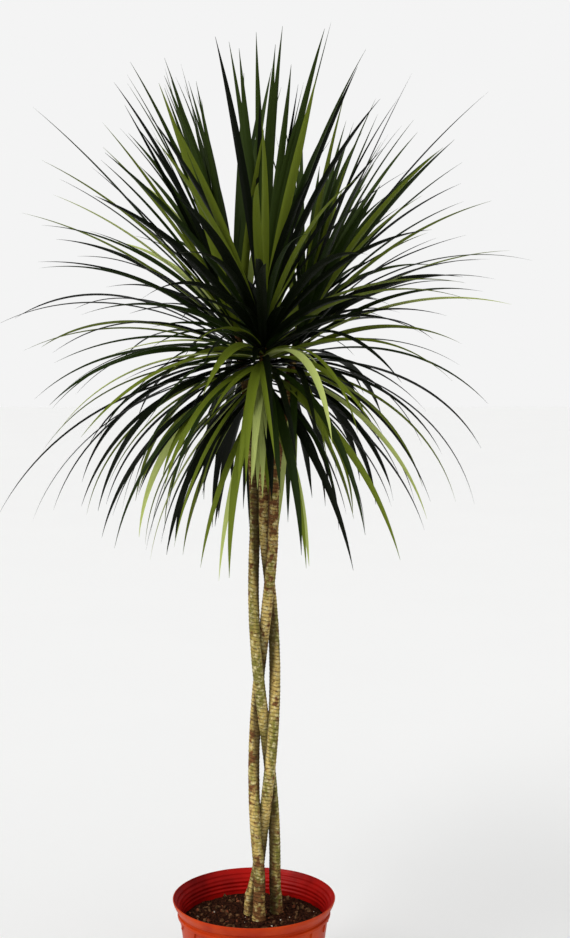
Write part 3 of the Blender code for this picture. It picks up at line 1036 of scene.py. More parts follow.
@dataclass(frozen=True)
class Plait:
    """How three canes wind round each other from the soil to the fork.

    Seen from above, each strand follows a figure of eight about middle_x, half_width to each
    side and half_depth to the front and back. pitch is the height of a whole turn. The winding
    eases in and out over ease at top and foot. Below foot the strands spread a little, and below
    foot_top, just under the rim, they stand upright. Each one takes up its foot_shift below
    splay_top and its cane_shift above top.
    """

    middle_x: float = 0.0135
    half_width: float = 0.0135
    half_depth: float = 0.0128
    pitch: float = 0.725
    top: float = 0.668
    foot: float = 0.189
    ease: float = 0.05
    foot_top: float = 0.1725
    foot_spread: float = 0.12
    splay_top: float = 0.235
    soil_level: float = 0.146
    tip: float = 0.79
    points: int = 26
    radius: float = 0.0076
    tip_radius: float = 0.0068
    flare: float = 0.0020
    flare_height: float = 0.016
    gap: float = 0.0003
    heads: tuple[Head, ...] = (
        Head("left", 2, (0.0, 0.010), (-0.007, 0.005), (-0.010, 0.003), (90, 225), 0.89, 175, 192),
        Head("front", 0, (-0.010, -0.004), (0.0, -0.014), (0.0, -0.003), (225, 315), 0.93, 164, 36),
        Head("right", 1, (0.0, 0.0), (0.011, 0.010), (0.009, 0.003), (-45, 90), 0.82, 97, 393),
    )

    def eased(self, run: float) -> float:
        """Lets a run down the plait start and end gently.

        Args:
            run: The run from the plait's top.

        Returns:
            The run that the winding follows.
        """
        total = self.top - self.foot
        run = min(max(run, 0.0), total)
        start = run * run / (2 * self.ease) if run < self.ease else run - self.ease / 2
        over = run - (total - self.ease)
        return start - over * over / (2 * self.ease) if over > 0 else start

    def strand_place(self, strand: int, height: float) -> tuple[float, float]:
        """Finds the middle of one strand.

        Args:
            strand: The strand's number.
            height: The height.

        Returns:
            Its place to the right and back.
        """
        turn = 2 * math.pi * (self.eased(self.top - height) / self.pitch + strand / len(self.heads))
        foot = max(0.0, (self.foot - height) / (self.foot - self.foot_top))
        spread = 1 + self.foot_spread * foot**2
        across = self.half_width * spread * math.sin(turn)
        return self.middle_x + across, self.half_depth * spread * math.sin(2 * turn)

    def cane_place(self, head: Head, height: float) -> np.ndarray:
        """Finds the middle of a cane, which stands upright over its foot.

        Args:
            head: The head that the cane carries.
            height: The height.

        Returns:
            The point there.
        """
        level = max(height, self.foot_top)
        x, y = self.strand_place(head.strand, level)
        rise = max(0.0, (level - self.top) / (self.tip - self.top)) ** 2
        fall = max(0.0, (self.splay_top - level) / (self.splay_top - self.foot_top)) ** 2
        x += head.cane_shift[0] * rise + head.foot_shift[0] * fall
        y += head.cane_shift[1] * rise + head.foot_shift[1] * fall
        return np.array((x, y, height))

    def cane_radius(self, height: float) -> float:
        """Finds the cane's radius at a height, with its taper and the flare at its foot.

        Args:
            height: The height.

        Returns:
            The radius there.
        """
        rise = (height - self.soil_level) / (self.tip - self.soil_level)
        taper = self.radius + (self.tip_radius - self.radius) * rise
        return taper + self.flare * math.exp(-(height - self.soil_level) / self.flare_height)

    def tip_direction(self, head: Head) -> np.ndarray:
        """Finds the direction of a cane's last stretch.

        Args:
            head: The head that the cane carries.

        Returns:
            The direction, of length 1.
        """
        heights = np.linspace(self.soil_level + self.gap, self.tip, self.points)
        run = self.cane_place(head, heights[-1]) - self.cane_place(head, heights[-2])
        return run / np.linalg.norm(run)


class Litter(Enum):
    """The kinds of piece that lie in the potting mix."""

    PEAT = "peat_crumbs"
    BARK = "bark_chips"
    RUST = "rusty_chips"
    PERLITE = "perlite"


@dataclass(frozen=True)
class LitterKind:
    """How many pieces of one kind lie on the mix, their size, their shape and their colours.

    dent_scale and dent_depth are in pieces' sizes, and growth is the range of sizes.
    """

    litter: Litter
    to_the_square_metre: float
    size: float
    stretch: tuple[float, float, float]
    finish: EarthFinish
    seed: int
    detail: int = 2
    dent_scale: float = 0.9
    dent_depth: float = 1.5
    growth: tuple[float, float] = (0.45, 1.5)


@dataclass
class PottingSoil:
    """The mix that fills the pot to a little under the rim, with its crumbs and chips."""

    pot: NurseryPot
    plait: Plait
    edge_fall: float = 0.003
    heap_heights: tuple[float, ...] = (0.007, 0.004, 0.004)
    heap_reach: float = 0.015
    swell: float = 0.0016
    grain: float = 0.0012
    gap: float = 0.0004
    rings: int = 44
    round_steps: int = 150
    side_heights: tuple[float, ...] = (0.12, 0.08, 0.04)
    lump_scale: float = 60.0
    lump_slice: float = 3.1
    grain_scale: float = 330.0
    grain_slice: float = 7.7
    fall_start: float = 0.75
    bed_margin: float = 0.004
    bed_cells: int = 60
    finish: EarthFinish = EarthFinish(
        "potting_mix", (0.010, 0.0025, 0.0010), (0.050, 0.016, 0.007), 260.0
    )
    litter: tuple[LitterKind, ...] = (
        LitterKind(
            Litter.PEAT,
            62000.0,
            0.0016,
            (1.0, 1.0, 0.7),
            EarthFinish("peat", (0.012, 0.0035, 0.0014), (0.070, 0.022, 0.009)),
            5,
        ),
        LitterKind(
            Litter.BARK,
            6500.0,
            0.0026,
            (1.5, 0.8, 0.45),
            EarthFinish("bark_chip", (0.050, 0.024, 0.010), (0.17, 0.085, 0.038)),
            8,
        ),
        LitterKind(
            Litter.RUST,
            2600.0,
            0.0022,
            (1.3, 0.8, 0.5),
            EarthFinish("rusty_chip", (0.12, 0.032, 0.014), (0.26, 0.090, 0.040)),
            13,
        ),
        LitterKind(
            Litter.PERLITE,
            350.0,
            0.0014,
            (1.0, 0.9, 0.8),
            EarthFinish("perlite_grain", (0.34, 0.28, 0.21), (0.62, 0.56, 0.48)),
            21,
        ),
    )
    pebble_place: tuple[float, float] = (-0.0125, -0.072)
    pebble_size: tuple[float, float, float] = (0.0052, 0.0040, 0.0034)
    pebble_dent: float = 0.22
    pebble_dent_scale: float = 1.7
    pebble_lift: float = 0.3
    pebble_detail: int = 3
    pebble_finish: EarthFinish = EarthFinish(
        "pale_pebble", (0.72, 0.60, 0.48), (0.85, 0.78, 0.68), 500.0, 0.7
    )

    def top(self, across: float, back: float) -> float:
        """The height of the mix at a place.

        Args:
            across: The place to the right of the pot's axis.
            back: The place behind it.

        Returns:
            The height of the surface there.
        """
        edge = self.pot.inner_radius(self.plait.soil_level)
        share = math.hypot(across, back) / edge
        flat = Vector((across, back))
        lumps = noise.noise(Vector((*flat * self.lump_scale, self.lump_slice)))
        grains = noise.noise(Vector((*flat * self.grain_scale, self.grain_slice)))
        fall = self.edge_fall * max(0.0, (share - self.fall_start) / (1 - self.fall_start)) ** 2
        heap = 0.0
        for head, height in zip(self.plait.heads, self.heap_heights):
            foot = self.plait.cane_place(head, self.plait.soil_level)
            far = math.hypot(across - foot[0], back - foot[1])
            heap = max(heap, height * math.exp(-((far / self.heap_reach) ** 2)))
        return self.plait.soil_level - fall + heap + self.swell * lumps + self.grain * grains

    def build(self) -> None:
        """Makes the mix and what lies on it."""
        show(self.body(), "potting_soil", "soil")
        for kind in self.litter:
            show(self.scatter(kind), "potting_soil", "soil")
        show(self.pebble(), "potting_soil", "soil")

    def body(self) -> bpy.types.Object:
        """Makes the filling: an uneven top, and sides and a base inside the pot.

        Returns:
            The filling.
        """
        edge = self.pot.inner_radius(self.plait.soil_level - self.edge_fall) - self.gap
        low = self.pot.floor + self.gap
        rings = []
        for ring in range(self.rings + 1):
            level_ring = ring_places(edge * ring / self.rings, 0.0, self.round_steps)
            rings.append([(x, y, self.top(x, y)) for x, y, _ in level_ring])
        for height in (*self.side_heights, low):
            radius = self.pot.inner_radius(height) - self.gap
            rings.append(ring_places(radius, height, self.round_steps))
        rings.append([(0.0, 0.0, low)])
        mesh = ringed_mesh("soil_body", rings)
        mesh.materials.append(self.finish.material())
        shade_smooth(mesh)
        return new_object("soil_body", mesh)

    def bed(self) -> bpy.types.Object:
        """Makes a plain disc on the mix's top for pieces to be dealt out on.

        Returns:
            The disc.
        """
        shape = bmesh.new()
        reach = self.pot.inner_radius(self.plait.soil_level) - self.bed_margin
        cells = self.bed_cells
        bmesh.ops.create_grid(shape, x_segments=cells, y_segments=cells, size=reach)
        outside = [vert for vert in shape.verts if vert.co.xy.length > reach]
        bmesh.ops.delete(shape, geom=outside, context="VERTS")
        for vert in shape.verts:
            vert.co.z = self.top(vert.co.x, vert.co.y)
        return new_object("soil_bed", plain_mesh("soil_bed", shape))

    def scatter(self, kind: LitterKind) -> bpy.types.Object:
        """Deals out one kind of piece over the mix.

        Args:
            kind: The kind of piece.

        Returns:
            All its pieces as one mesh.
        """
        tree = PieceTree(kind.litter.value)
        density = tree.size("Pieces To The Square Metre", kind.to_the_square_metre)
        size = tree.size("Piece Size", kind.size)
        seed = tree.size("Seed", kind.seed, "Int")
        stretch = tree.size("Stretch", kind.stretch, "Vector")
        material = tree.size("Finish", kind.finish.material(), "Material")
        places = tree.node(
            "GeometryNodeDistributePointsOnFaces",
            {"Mesh": tree.entry.outputs[0], "Density": density, "Seed": seed},
        )
        grain = {"Radius": size, "Subdivisions": kind.detail}
        grain = tree.node("GeometryNodeMeshIcoSphere", grain)
        position = tree.node("GeometryNodeInputPosition").outputs[0]
        dents = {"Vector": position, "Scale": kind.dent_scale / kind.size}
        dents = tree.node("ShaderNodeTexNoise", dents).outputs["Color"]
        pulled = tree.vectors("SUBTRACT", dents, (0.5, 0.5, 0.5))
        offset = tree.scaled(pulled, kind.dent_depth * kind.size)
        moved = {"Geometry": grain.outputs[0], "Offset": offset}
        uneven = tree.node("GeometryNodeSetPosition", moved)
        spin = {"Seed": kind.seed + 1, "Max": (math.tau, math.tau, math.tau)}
        spin = tree.node("FunctionNodeRandomValue", spin, data_type="FLOAT_VECTOR")
        growth = {"Seed": kind.seed + 2, "Min": kind.growth[0], "Max": kind.growth[1]}
        growth = tree.node("FunctionNodeRandomValue", growth, data_type="FLOAT")
        inputs = {
            "Points": places.outputs[0],
            "Instance": uneven.outputs[0],
            "Rotation": tree.enabled(spin.outputs, "Value"),
            "Scale": tree.scaled(stretch, tree.enabled(growth.outputs, "Value")),
        }
        dealt = tree.node("GeometryNodeInstanceOnPoints", inputs)
        tree.finish(dealt.outputs[0], material)
        return tree.run(self.bed(), f"soil_{kind.litter.value}")

    def pebble(self) -> bpy.types.Object:
        """Makes the one pale pebble at the front of the mix.

        Returns:
            The pebble.
        """
        shape = bmesh.new()
        bmesh.ops.create_icosphere(shape, subdivisions=self.pebble_detail, radius=1.0)
        height = self.top(*self.pebble_place) + self.pebble_size[2] * self.pebble_lift
        for vert in shape.verts:
            dent = 1.0 + self.pebble_dent * noise.noise(vert.co * self.pebble_dent_scale)
            for axis, size in enumerate(self.pebble_size):
                vert.co[axis] *= size / 2 * dent
            vert.co += Vector((*self.pebble_place, height))
        mesh = plain_mesh("soil_pebble", shape)
        mesh.materials.append(self.pebble_finish.material())
        shade_smooth(mesh)
        return new_object("soil_pebble", mesh)


@dataclass
class RingedTube:
    """A stem with the raised rings that fallen leaves have left.

    A ring rises slowly to a sharp edge. ring_tilt and ring_waver are in rings, and mean_level
    is taken off both patterns so that the stem keeps its radius. The mesh carries two values for
    its bark: scar, the share of the way up a ring, and inward, how far the surface there faces
    the middle of the plait, in metres.
    """

    segments: int = 1250
    sides: int = 26
    ring_pitch: float = 0.0047
    ring_depth: float = 0.0005
    ring_tilt: float = 0.30
    ring_waver: float = 1.5
    ring_sharpness: float = 2.5
    waver_scale: float = 55.0
    lump_depth: float = 0.0007
    lump_scale: float = 90.0
    mean_level: float = 0.55

    def build(
        self,
        name: str,
        points: np.ndarray,
        radii: np.ndarray,
        middle_x: float,
        bark: bpy.types.Material,
        seed: int,
    ) -> bpy.types.Object:
        """Makes a ringed stem along a path.

        Args:
            name: The piece's name.
            points: The path.
            radii: The radius at each point.
            middle_x: How far right the plait's upright middle line stands.
            bark: Its material.
            seed: Sets its pattern apart from the other stems'.

        Returns:
            The stem.
        """
        tree = PieceTree("ringed_tube")
        segments = tree.size("Segments", self.segments, "Int")
        sides = tree.size("Sides", self.sides, "Int")
        pitch = tree.size("Ring Pitch", self.ring_pitch)
        depth = tree.size("Ring Depth", self.ring_depth)
        tilt = tree.size("Ring Tilt", self.ring_tilt)
        waver = tree.size("Ring Waver", self.ring_waver)
        lumps = tree.size("Lump Depth", self.lump_depth)
        shift = tree.size("Pattern Shift", (0.0, 0.0, float(seed)), "Vector")
        middle = tree.size("Plait Middle", (middle_x, 0.0, 0.0), "Vector")
        material = tree.size("Bark", bark, "Material")
        curve = tree.node("GeometryNodeMeshToCurve", {"Mesh": tree.entry.outputs[0]}).outputs[0]
        fine = {"Curve": curve, "Count": segments}
        fine = tree.node("GeometryNodeResampleCurve", fine).outputs[0]
        ring = tree.node("GeometryNodeCurvePrimitiveCircle", {"Resolution": sides, "Radius": 1.0})
        section = tree.store(ring.outputs[0], "across", tree.part_of_place("X"))
        inputs = {"Curve": fine, "Profile Curve": section, "Fill Caps": True}
        inputs["Scale"] = tree.named("radius_here")
        tube = tree.node("GeometryNodeCurveToMesh", inputs)
        place = tree.node("GeometryNodeInputPosition").outputs[0]
        moved = tree.vectors("ADD", place, shift)
        turns = tree.maths("DIVIDE", tree.part_of_place("Z"), pitch)
        lean = tree.maths("MULTIPLY", tree.named("across"), tilt)
        drift = tree.maths("MULTIPLY", tree.noise(moved, self.waver_scale), waver)
        scar = tree.maths("FRACT", tree.maths("ADD", turns, tree.maths("ADD", lean, drift)))
        rise = tree.maths("POWER", scar, self.ring_sharpness)
        rise = tree.maths("MULTIPLY", tree.maths("SUBTRACT", rise, self.mean_level), depth)
        swell = tree.noise(moved, self.lump_scale)
        swell = tree.maths("MULTIPLY", tree.maths("SUBTRACT", swell, self.mean_level), lumps)
        normal = tree.node("GeometryNodeInputNormal").outputs[0]
        offset = tree.scaled(normal, tree.maths("ADD", rise, swell))
        # inward, how far the surface faces the middle of the plait, sets where the bark paints
        # shade.
        inwards = tree.vectors("MULTIPLY", tree.vectors("SUBTRACT", middle, place), (1.0, 1.0, 0.0))
        facing = {0: inwards, 1: normal}
        inward = tree.node("ShaderNodeVectorMath", facing, operation="DOT_PRODUCT").outputs["Value"]
        marked = tree.store(tree.store(tube.outputs[0], "scar", scar), "inward", inward)
        shaped = tree.node("GeometryNodeSetPosition", {"Geometry": marked, "Offset": offset})
        tree.finish(shaped.outputs[0], material)
        return tree.run(path_mesh(name, [points], {"radius_here": radii}), name)


@dataclass
class Canes:
    """The three plaited canes."""

    plait: Plait
    tube: RingedTube = field(default_factory=RingedTube)
    path_points: int = 120
    seed_step: int = 3
    finishes: tuple[BarkFinish, ...] = (
        BarkFinish("greenish_bark", green=0.75, rust=0.3),
        BarkFinish("tan_bark", green=0.45, rust=0.5),
        BarkFinish("reddish_bark", green=0.3, rust=0.9),
    )

    def build(self) -> None:
        """Makes each cane from the soil to its tip."""
        plait = self.plait
        heights = np.linspace(plait.soil_level + plait.gap, plait.tip, self.path_points)
        radii = np.array([plait.cane_radius(height) for height in heights])
        for number, (head, finish) in enumerate(zip(plait.heads, self.finishes)):
            name = f"cane_{head.name}_bark"
            points = np.array([plait.cane_place(head, height) for height in heights])
            seed = self.seed_step * number
            cane = self.tube.build(name, points, radii, plait.middle_x, finish.material(), seed)
            show(cane, "cane_bark", f"cane_{head.name}")


@dataclass(frozen=True)
class SkyGap:
    """A gap between leaves that shows sky from the front: a strip that widens upwards.

    low and high are its ends, as (right, up) from the middle of the pot's underside, and reaches
    are its half widths there.
    """

    low: tuple[float, float]
    high: tuple[float, float]
    reaches: tuple[float, float]

    def share_of(self, places: np.ndarray) -> float:
        """Tells what share of some places is in the gap as seen from the photograph's side.

        Args:
            places: The places.

        Returns:
            The share.
        """
        eye = np.array(VIEWPOINT)
        scale = eye[1] / (eye[1] - places[:, 1])
        seen = eye[[0, 2]] + (places[:, [0, 2]] - eye[[0, 2]]) * scale[:, None]
        run = np.array(self.high) - np.array(self.low)
        length = np.linalg.norm(run)
        offset = seen - np.array(self.low)
        share = offset @ run / length**2
        aside = np.abs(offset[:, 0] * run[1] - offset[:, 1] * run[0]) / length
        reach = np.interp(share, (0.0, 1.0), self.reaches)
        return float(np.mean((share > 0.0) & (share < 1.0) & (aside < reach)))


@dataclass(frozen=True)
class Leaf:
    """One grown leaf: its path, the shares of length along it, its roll, its width and its age."""

    shares: np.ndarray
    places: np.ndarray
    roll: float
    width: float
    age: float


@dataclass(frozen=True)
class LeafRule:
    """How leaves grow on a stem: where each one starts, how it leans, droops and sweeps.

    A leaf's age runs from 0 at the stem's tip to 1 at the lowest leaf, and lengths and fan
    angles are given at some ages. The scatters are standard deviations. ages is the part of that
    range that is grown, and tilt is how far the leaves' axis leans aside from the stem.
    """

    plait: Plait
    stem_height: float = 0.145
    stem_top_radius: float = 0.0045
    stem_points: int = 7
    axis_step: float = 0.05
    leafy_share: float = 0.82
    root_crowding: float = 0.9
    root_offset: float = 0.0014
    crown_axis: tuple[float, float] = (0.0155, 0.004)
    leaf_width: float = 0.0118
    path_steps: int = 48
    clearance: float = 0.0015
    root_share: float = 0.04
    length_ages: tuple[float, ...] = (0.0, 0.4, 0.7, 1.0)
    leaf_lengths: tuple[float, ...] = (0.340, 0.352, 0.315, 0.243)
    fan_ages: tuple[float, ...] = (0.0, 0.42, 0.62, 1.0)
    fan_angles: tuple[float, ...] = tuple(math.radians(angle) for angle in (5, 50, 95, 136))
    least_droop: float = math.radians(9)
    most_droop: float = math.radians(50)
    droop_power: float = 1.3
    steepest_fall: float = math.radians(-86)
    spin_scatter: float = 0.12
    fan_scatter: float = 0.07
    droop_scatter: float = 0.12
    sweep_scatter: float = 0.10
    most_roll: float = 0.5
    length_range: tuple[float, float] = (0.88, 1.08)
    width_range: tuple[float, float] = (0.85, 1.10)
    bare_cane_top: float = 0.70
    bare_cane_reach: float = 0.034
    shortening: float = 0.85
    shortening_steps: int = 6
    gaps: tuple[SkyGap, ...] = (
        SkyGap((-0.019, 0.998), (-0.055, 1.245), (0.004, 0.012)),
        SkyGap((0.065, 1.105), (0.100, 1.240), (0.003, 0.016)),
    )
    most_in_gap: float = 0.10
    ages: tuple[float, float] = (0.0, 1.0)
    tilt: float = 0.0

    def stem_place(self, head: Head, share: float) -> np.ndarray:
        """Finds the middle of a head's stem, whose first stretch is straight.

        Args:
            head: The head.
            share: The share of the stem's height.

        Returns:
            The point there.
        """
        direction = self.plait.tip_direction(head)
        foot = self.plait.cane_place(head, self.plait.tip) + direction * self.plait.gap
        along = direction * self.stem_height * share
        lean = np.array((*head.stem_lean, 0.0)) * max(0.0, share - 1 / self.stem_points) ** 2
        return foot + along + lean

    def path(
        self,
        root: np.ndarray,
        elevation: float,
        bearing: float,
        droop: float,
        sweep: float,
        length: float,
    ) -> tuple[np.ndarray, np.ndarray]:
        """Follows one leaf from its root to its tip.

        Args:
            root: Where it starts.
            elevation: How steeply it starts.
            bearing: Which way it points.
            droop: How far it bends down.
            sweep: How far it bends aside.
            length: Its length.

        Returns:
            The shares of its length and the points at them.
        """
        share = np.linspace(0.0, 1.0, self.path_steps + 1)
        middle = (share[1:] + share[:-1]) / 2
        pitch = np.maximum(elevation - droop * middle**self.droop_power, self.steepest_fall)
        heading = bearing + sweep * middle**2
        level = np.cos(pitch)
        step = np.stack((level * np.cos(heading), level * np.sin(heading), np.sin(pitch)), axis=1)
        run = np.concatenate((np.zeros((1, 3)), np.cumsum(step, axis=0)))
        return share, root + run * length / self.path_steps

    def grow(self, head: Head, index: int, chance: np.random.Generator) -> Leaf:
        """Grows one leaf by its place in the golden spiral, from youngest to oldest.

        Args:
            head: The head that it grows on.
            index: Its place.
            chance: The head's random numbers.

        Returns:
            The leaf.
        """
        age = float(np.interp((index + 0.5) / head.candidates, (0.0, 1.0), self.ages))
        share = 1.0 - self.leafy_share * age**self.root_crowding
        above = self.stem_place(head, share + self.axis_step)
        upright = above - self.stem_place(head, share - self.axis_step)
        upright /= np.linalg.norm(upright)
        aside = np.cross(upright, (0.0, 1.0, 0.0))
        aside /= np.linalg.norm(aside)
        back = np.cross(aside, upright)
        axis = math.cos(self.tilt) * upright - math.sin(self.tilt) * aside
        right = math.cos(self.tilt) * aside + math.sin(self.tilt) * upright
        spin = index * GOLDEN_ANGLE + chance.normal(0.0, self.spin_scatter)
        fan = np.interp(age, self.fan_ages, self.fan_angles) + chance.normal(0.0, self.fan_scatter)
        outward = math.cos(spin) * right + math.sin(spin) * back
        start = math.cos(fan) * axis + math.sin(fan) * outward
        elevation = math.asin(start[2])
        bearing = math.atan2(start[1], start[0])
        droop = self.least_droop + self.most_droop * math.cos(elevation) ** 2
        droop += chance.normal(0.0, self.droop_scatter)
        length = np.interp(age, self.length_ages, self.leaf_lengths)
        length *= head.vigour * chance.uniform(*self.length_range)
        sweep = chance.normal(0.0, self.sweep_scatter)
        roll = chance.uniform(-self.most_roll, self.most_roll)
        width = self.leaf_width * chance.uniform(*self.width_range)
        root = self.stem_place(head, share) + outward * self.root_offset
        shares, places = self.path(root, elevation, bearing, max(droop, 0.0), sweep, length)
        return Leaf(shares, places, roll, width, age)

    def in_wedge(self, head: Head, places: np.ndarray, margin: float) -> bool:
        """Tells whether a leaf keeps to the head's wedge of the crown.

        Args:
            head: The head.
            places: The leaf's points.
            margin: How far it stays from the wedge's two sides.

        Returns:
            Whether it does.
        """
        first, last = (math.radians(bearing) for bearing in head.wedge)
        flat = places[:, :2] - np.array(self.crown_axis)
        from_first = flat[:, 1] * math.cos(first) - flat[:, 0] * math.sin(first)
        from_last = flat[:, 0] * math.sin(last) - flat[:, 1] * math.cos(last)
        return bool(np.all(from_first > margin) and np.all(from_last > margin))

    def clear_of_canes(self, places: np.ndarray, margin: float) -> bool:
        """Tells whether a leaf keeps off every cane.

        Args:
            places: The leaf's points.
            margin: How far it stays from them.

        Returns:
            Whether it does.
        """
        plait = self.plait
        heights = np.linspace(plait.soil_level, plait.tip, 2 * plait.points)
        for head in plait.heads:
            for height in heights:
                far = np.linalg.norm(places - plait.cane_place(head, height), axis=1)
                if far.min() < plait.cane_radius(height) + margin:
                    return False
        return True

    def hides_canes(self, places: np.ndarray) -> bool:
        """Tells whether a leaf hangs down in front of the bare canes.

        Args:
            places: The leaf's points.

        Returns:
            Whether it does.
        """
        low = places[:, 2] < self.bare_cane_top
        aside = np.abs(places[:, 0] - self.plait.middle_x)
        return bool(np.any(low & (places[:, 1] < 0.0) & (aside < self.bare_cane_reach)))

    def kept_off_canes(self, leaf: Leaf) -> Leaf:
        """Cuts a leaf's length, step by step, until it doesn't hide the bare canes.

        Args:
            leaf: The leaf.

        Returns:
            The leaf, shorter where it has to be.
        """
        places = leaf.places
        for _ in range(self.shortening_steps):
            if not self.hides_canes(places):
                break
            places = places[0] + (places - places[0]) * self.shortening
        return replace(leaf, places=places)

    def closes_gap(self, places: np.ndarray) -> bool:
        """Tells whether too much of a leaf hangs in a gap that shows sky."""
        return any(gap.share_of(places) > self.most_in_gap for gap in self.gaps)

    def leaves(self, head: Head, keeps_wedge: bool) -> list[Leaf]:
        """Grows a head's leaves, less those that touch a cane, close a gap or end too high.

        Args:
            head: The head.
            keeps_wedge: Whether a leaf that leaves the head's wedge is left out too.

        Returns:
            The leaves.
        """
        chance = np.random.default_rng(head.seed)
        grown = []
        for index in range(head.candidates):
            leaf = self.kept_off_canes(self.grow(head, index, chance))
            margin = leaf.width / 2 + self.clearance
            outer = leaf.places[leaf.shares > self.root_share]
            if leaf.places[:, 2].max() > TOTAL_HEIGHT or self.closes_gap(leaf.places):
                continue
            inside = not keeps_wedge or self.in_wedge(head, outer, margin)
            if inside and self.clear_of_canes(outer, margin):
                grown.append(leaf)
        return grown


class LeafTint(Enum):
    """The greens that are dealt out to the leaves: copies of one leaf green with painted light and
    shade, from the deep one in shade to the sunlit one in strong light, with the young leaves' own
    green besides.
    """

    DEEP = "deep"
    MIDDLE = "middle"
    BRIGHT = "bright"
    SUNLIT = "sunlit"
    YOUNG = "young"


@dataclass(frozen=True)
class Filling:
    """More leaves by a head's own rule, of another length, width, range of ages and tilt.

    vigour scales the head's own, and width the rule's leaf width. tilt is how far the leaves'
    axis leans aside. Leaves that point further than reach away from the bearing are left out.
    These angles are in degrees.
    """

    head: str
    seed_step: int
    candidates: int
    vigour: float
    width: float
    ages: tuple[float, float]
    tilt: float
    bearing: float = 0.0
    reach: float = 180.0

    def faces(self, leaf: Leaf) -> bool:
        """Tells whether a leaf points the filling's way.

        Args:
            leaf: The leaf.

        Returns:
            Whether it does.
        """
        run = leaf.places[-1] - leaf.places[0]
        turn = math.degrees(math.atan2(run[1], run[0])) - self.bearing
        return abs((turn + 180.0) % 360.0 - 180.0) <= self.reach


@dataclass(frozen=True)
class Green:
    """One green, which paints a leaf lit or shaded, and its share of the leaves that stand up, hang
    in front, or do neither.
    """

    tint: LeafTint
    colour: Colour
    upright: float
    hanging: float
    aside: float


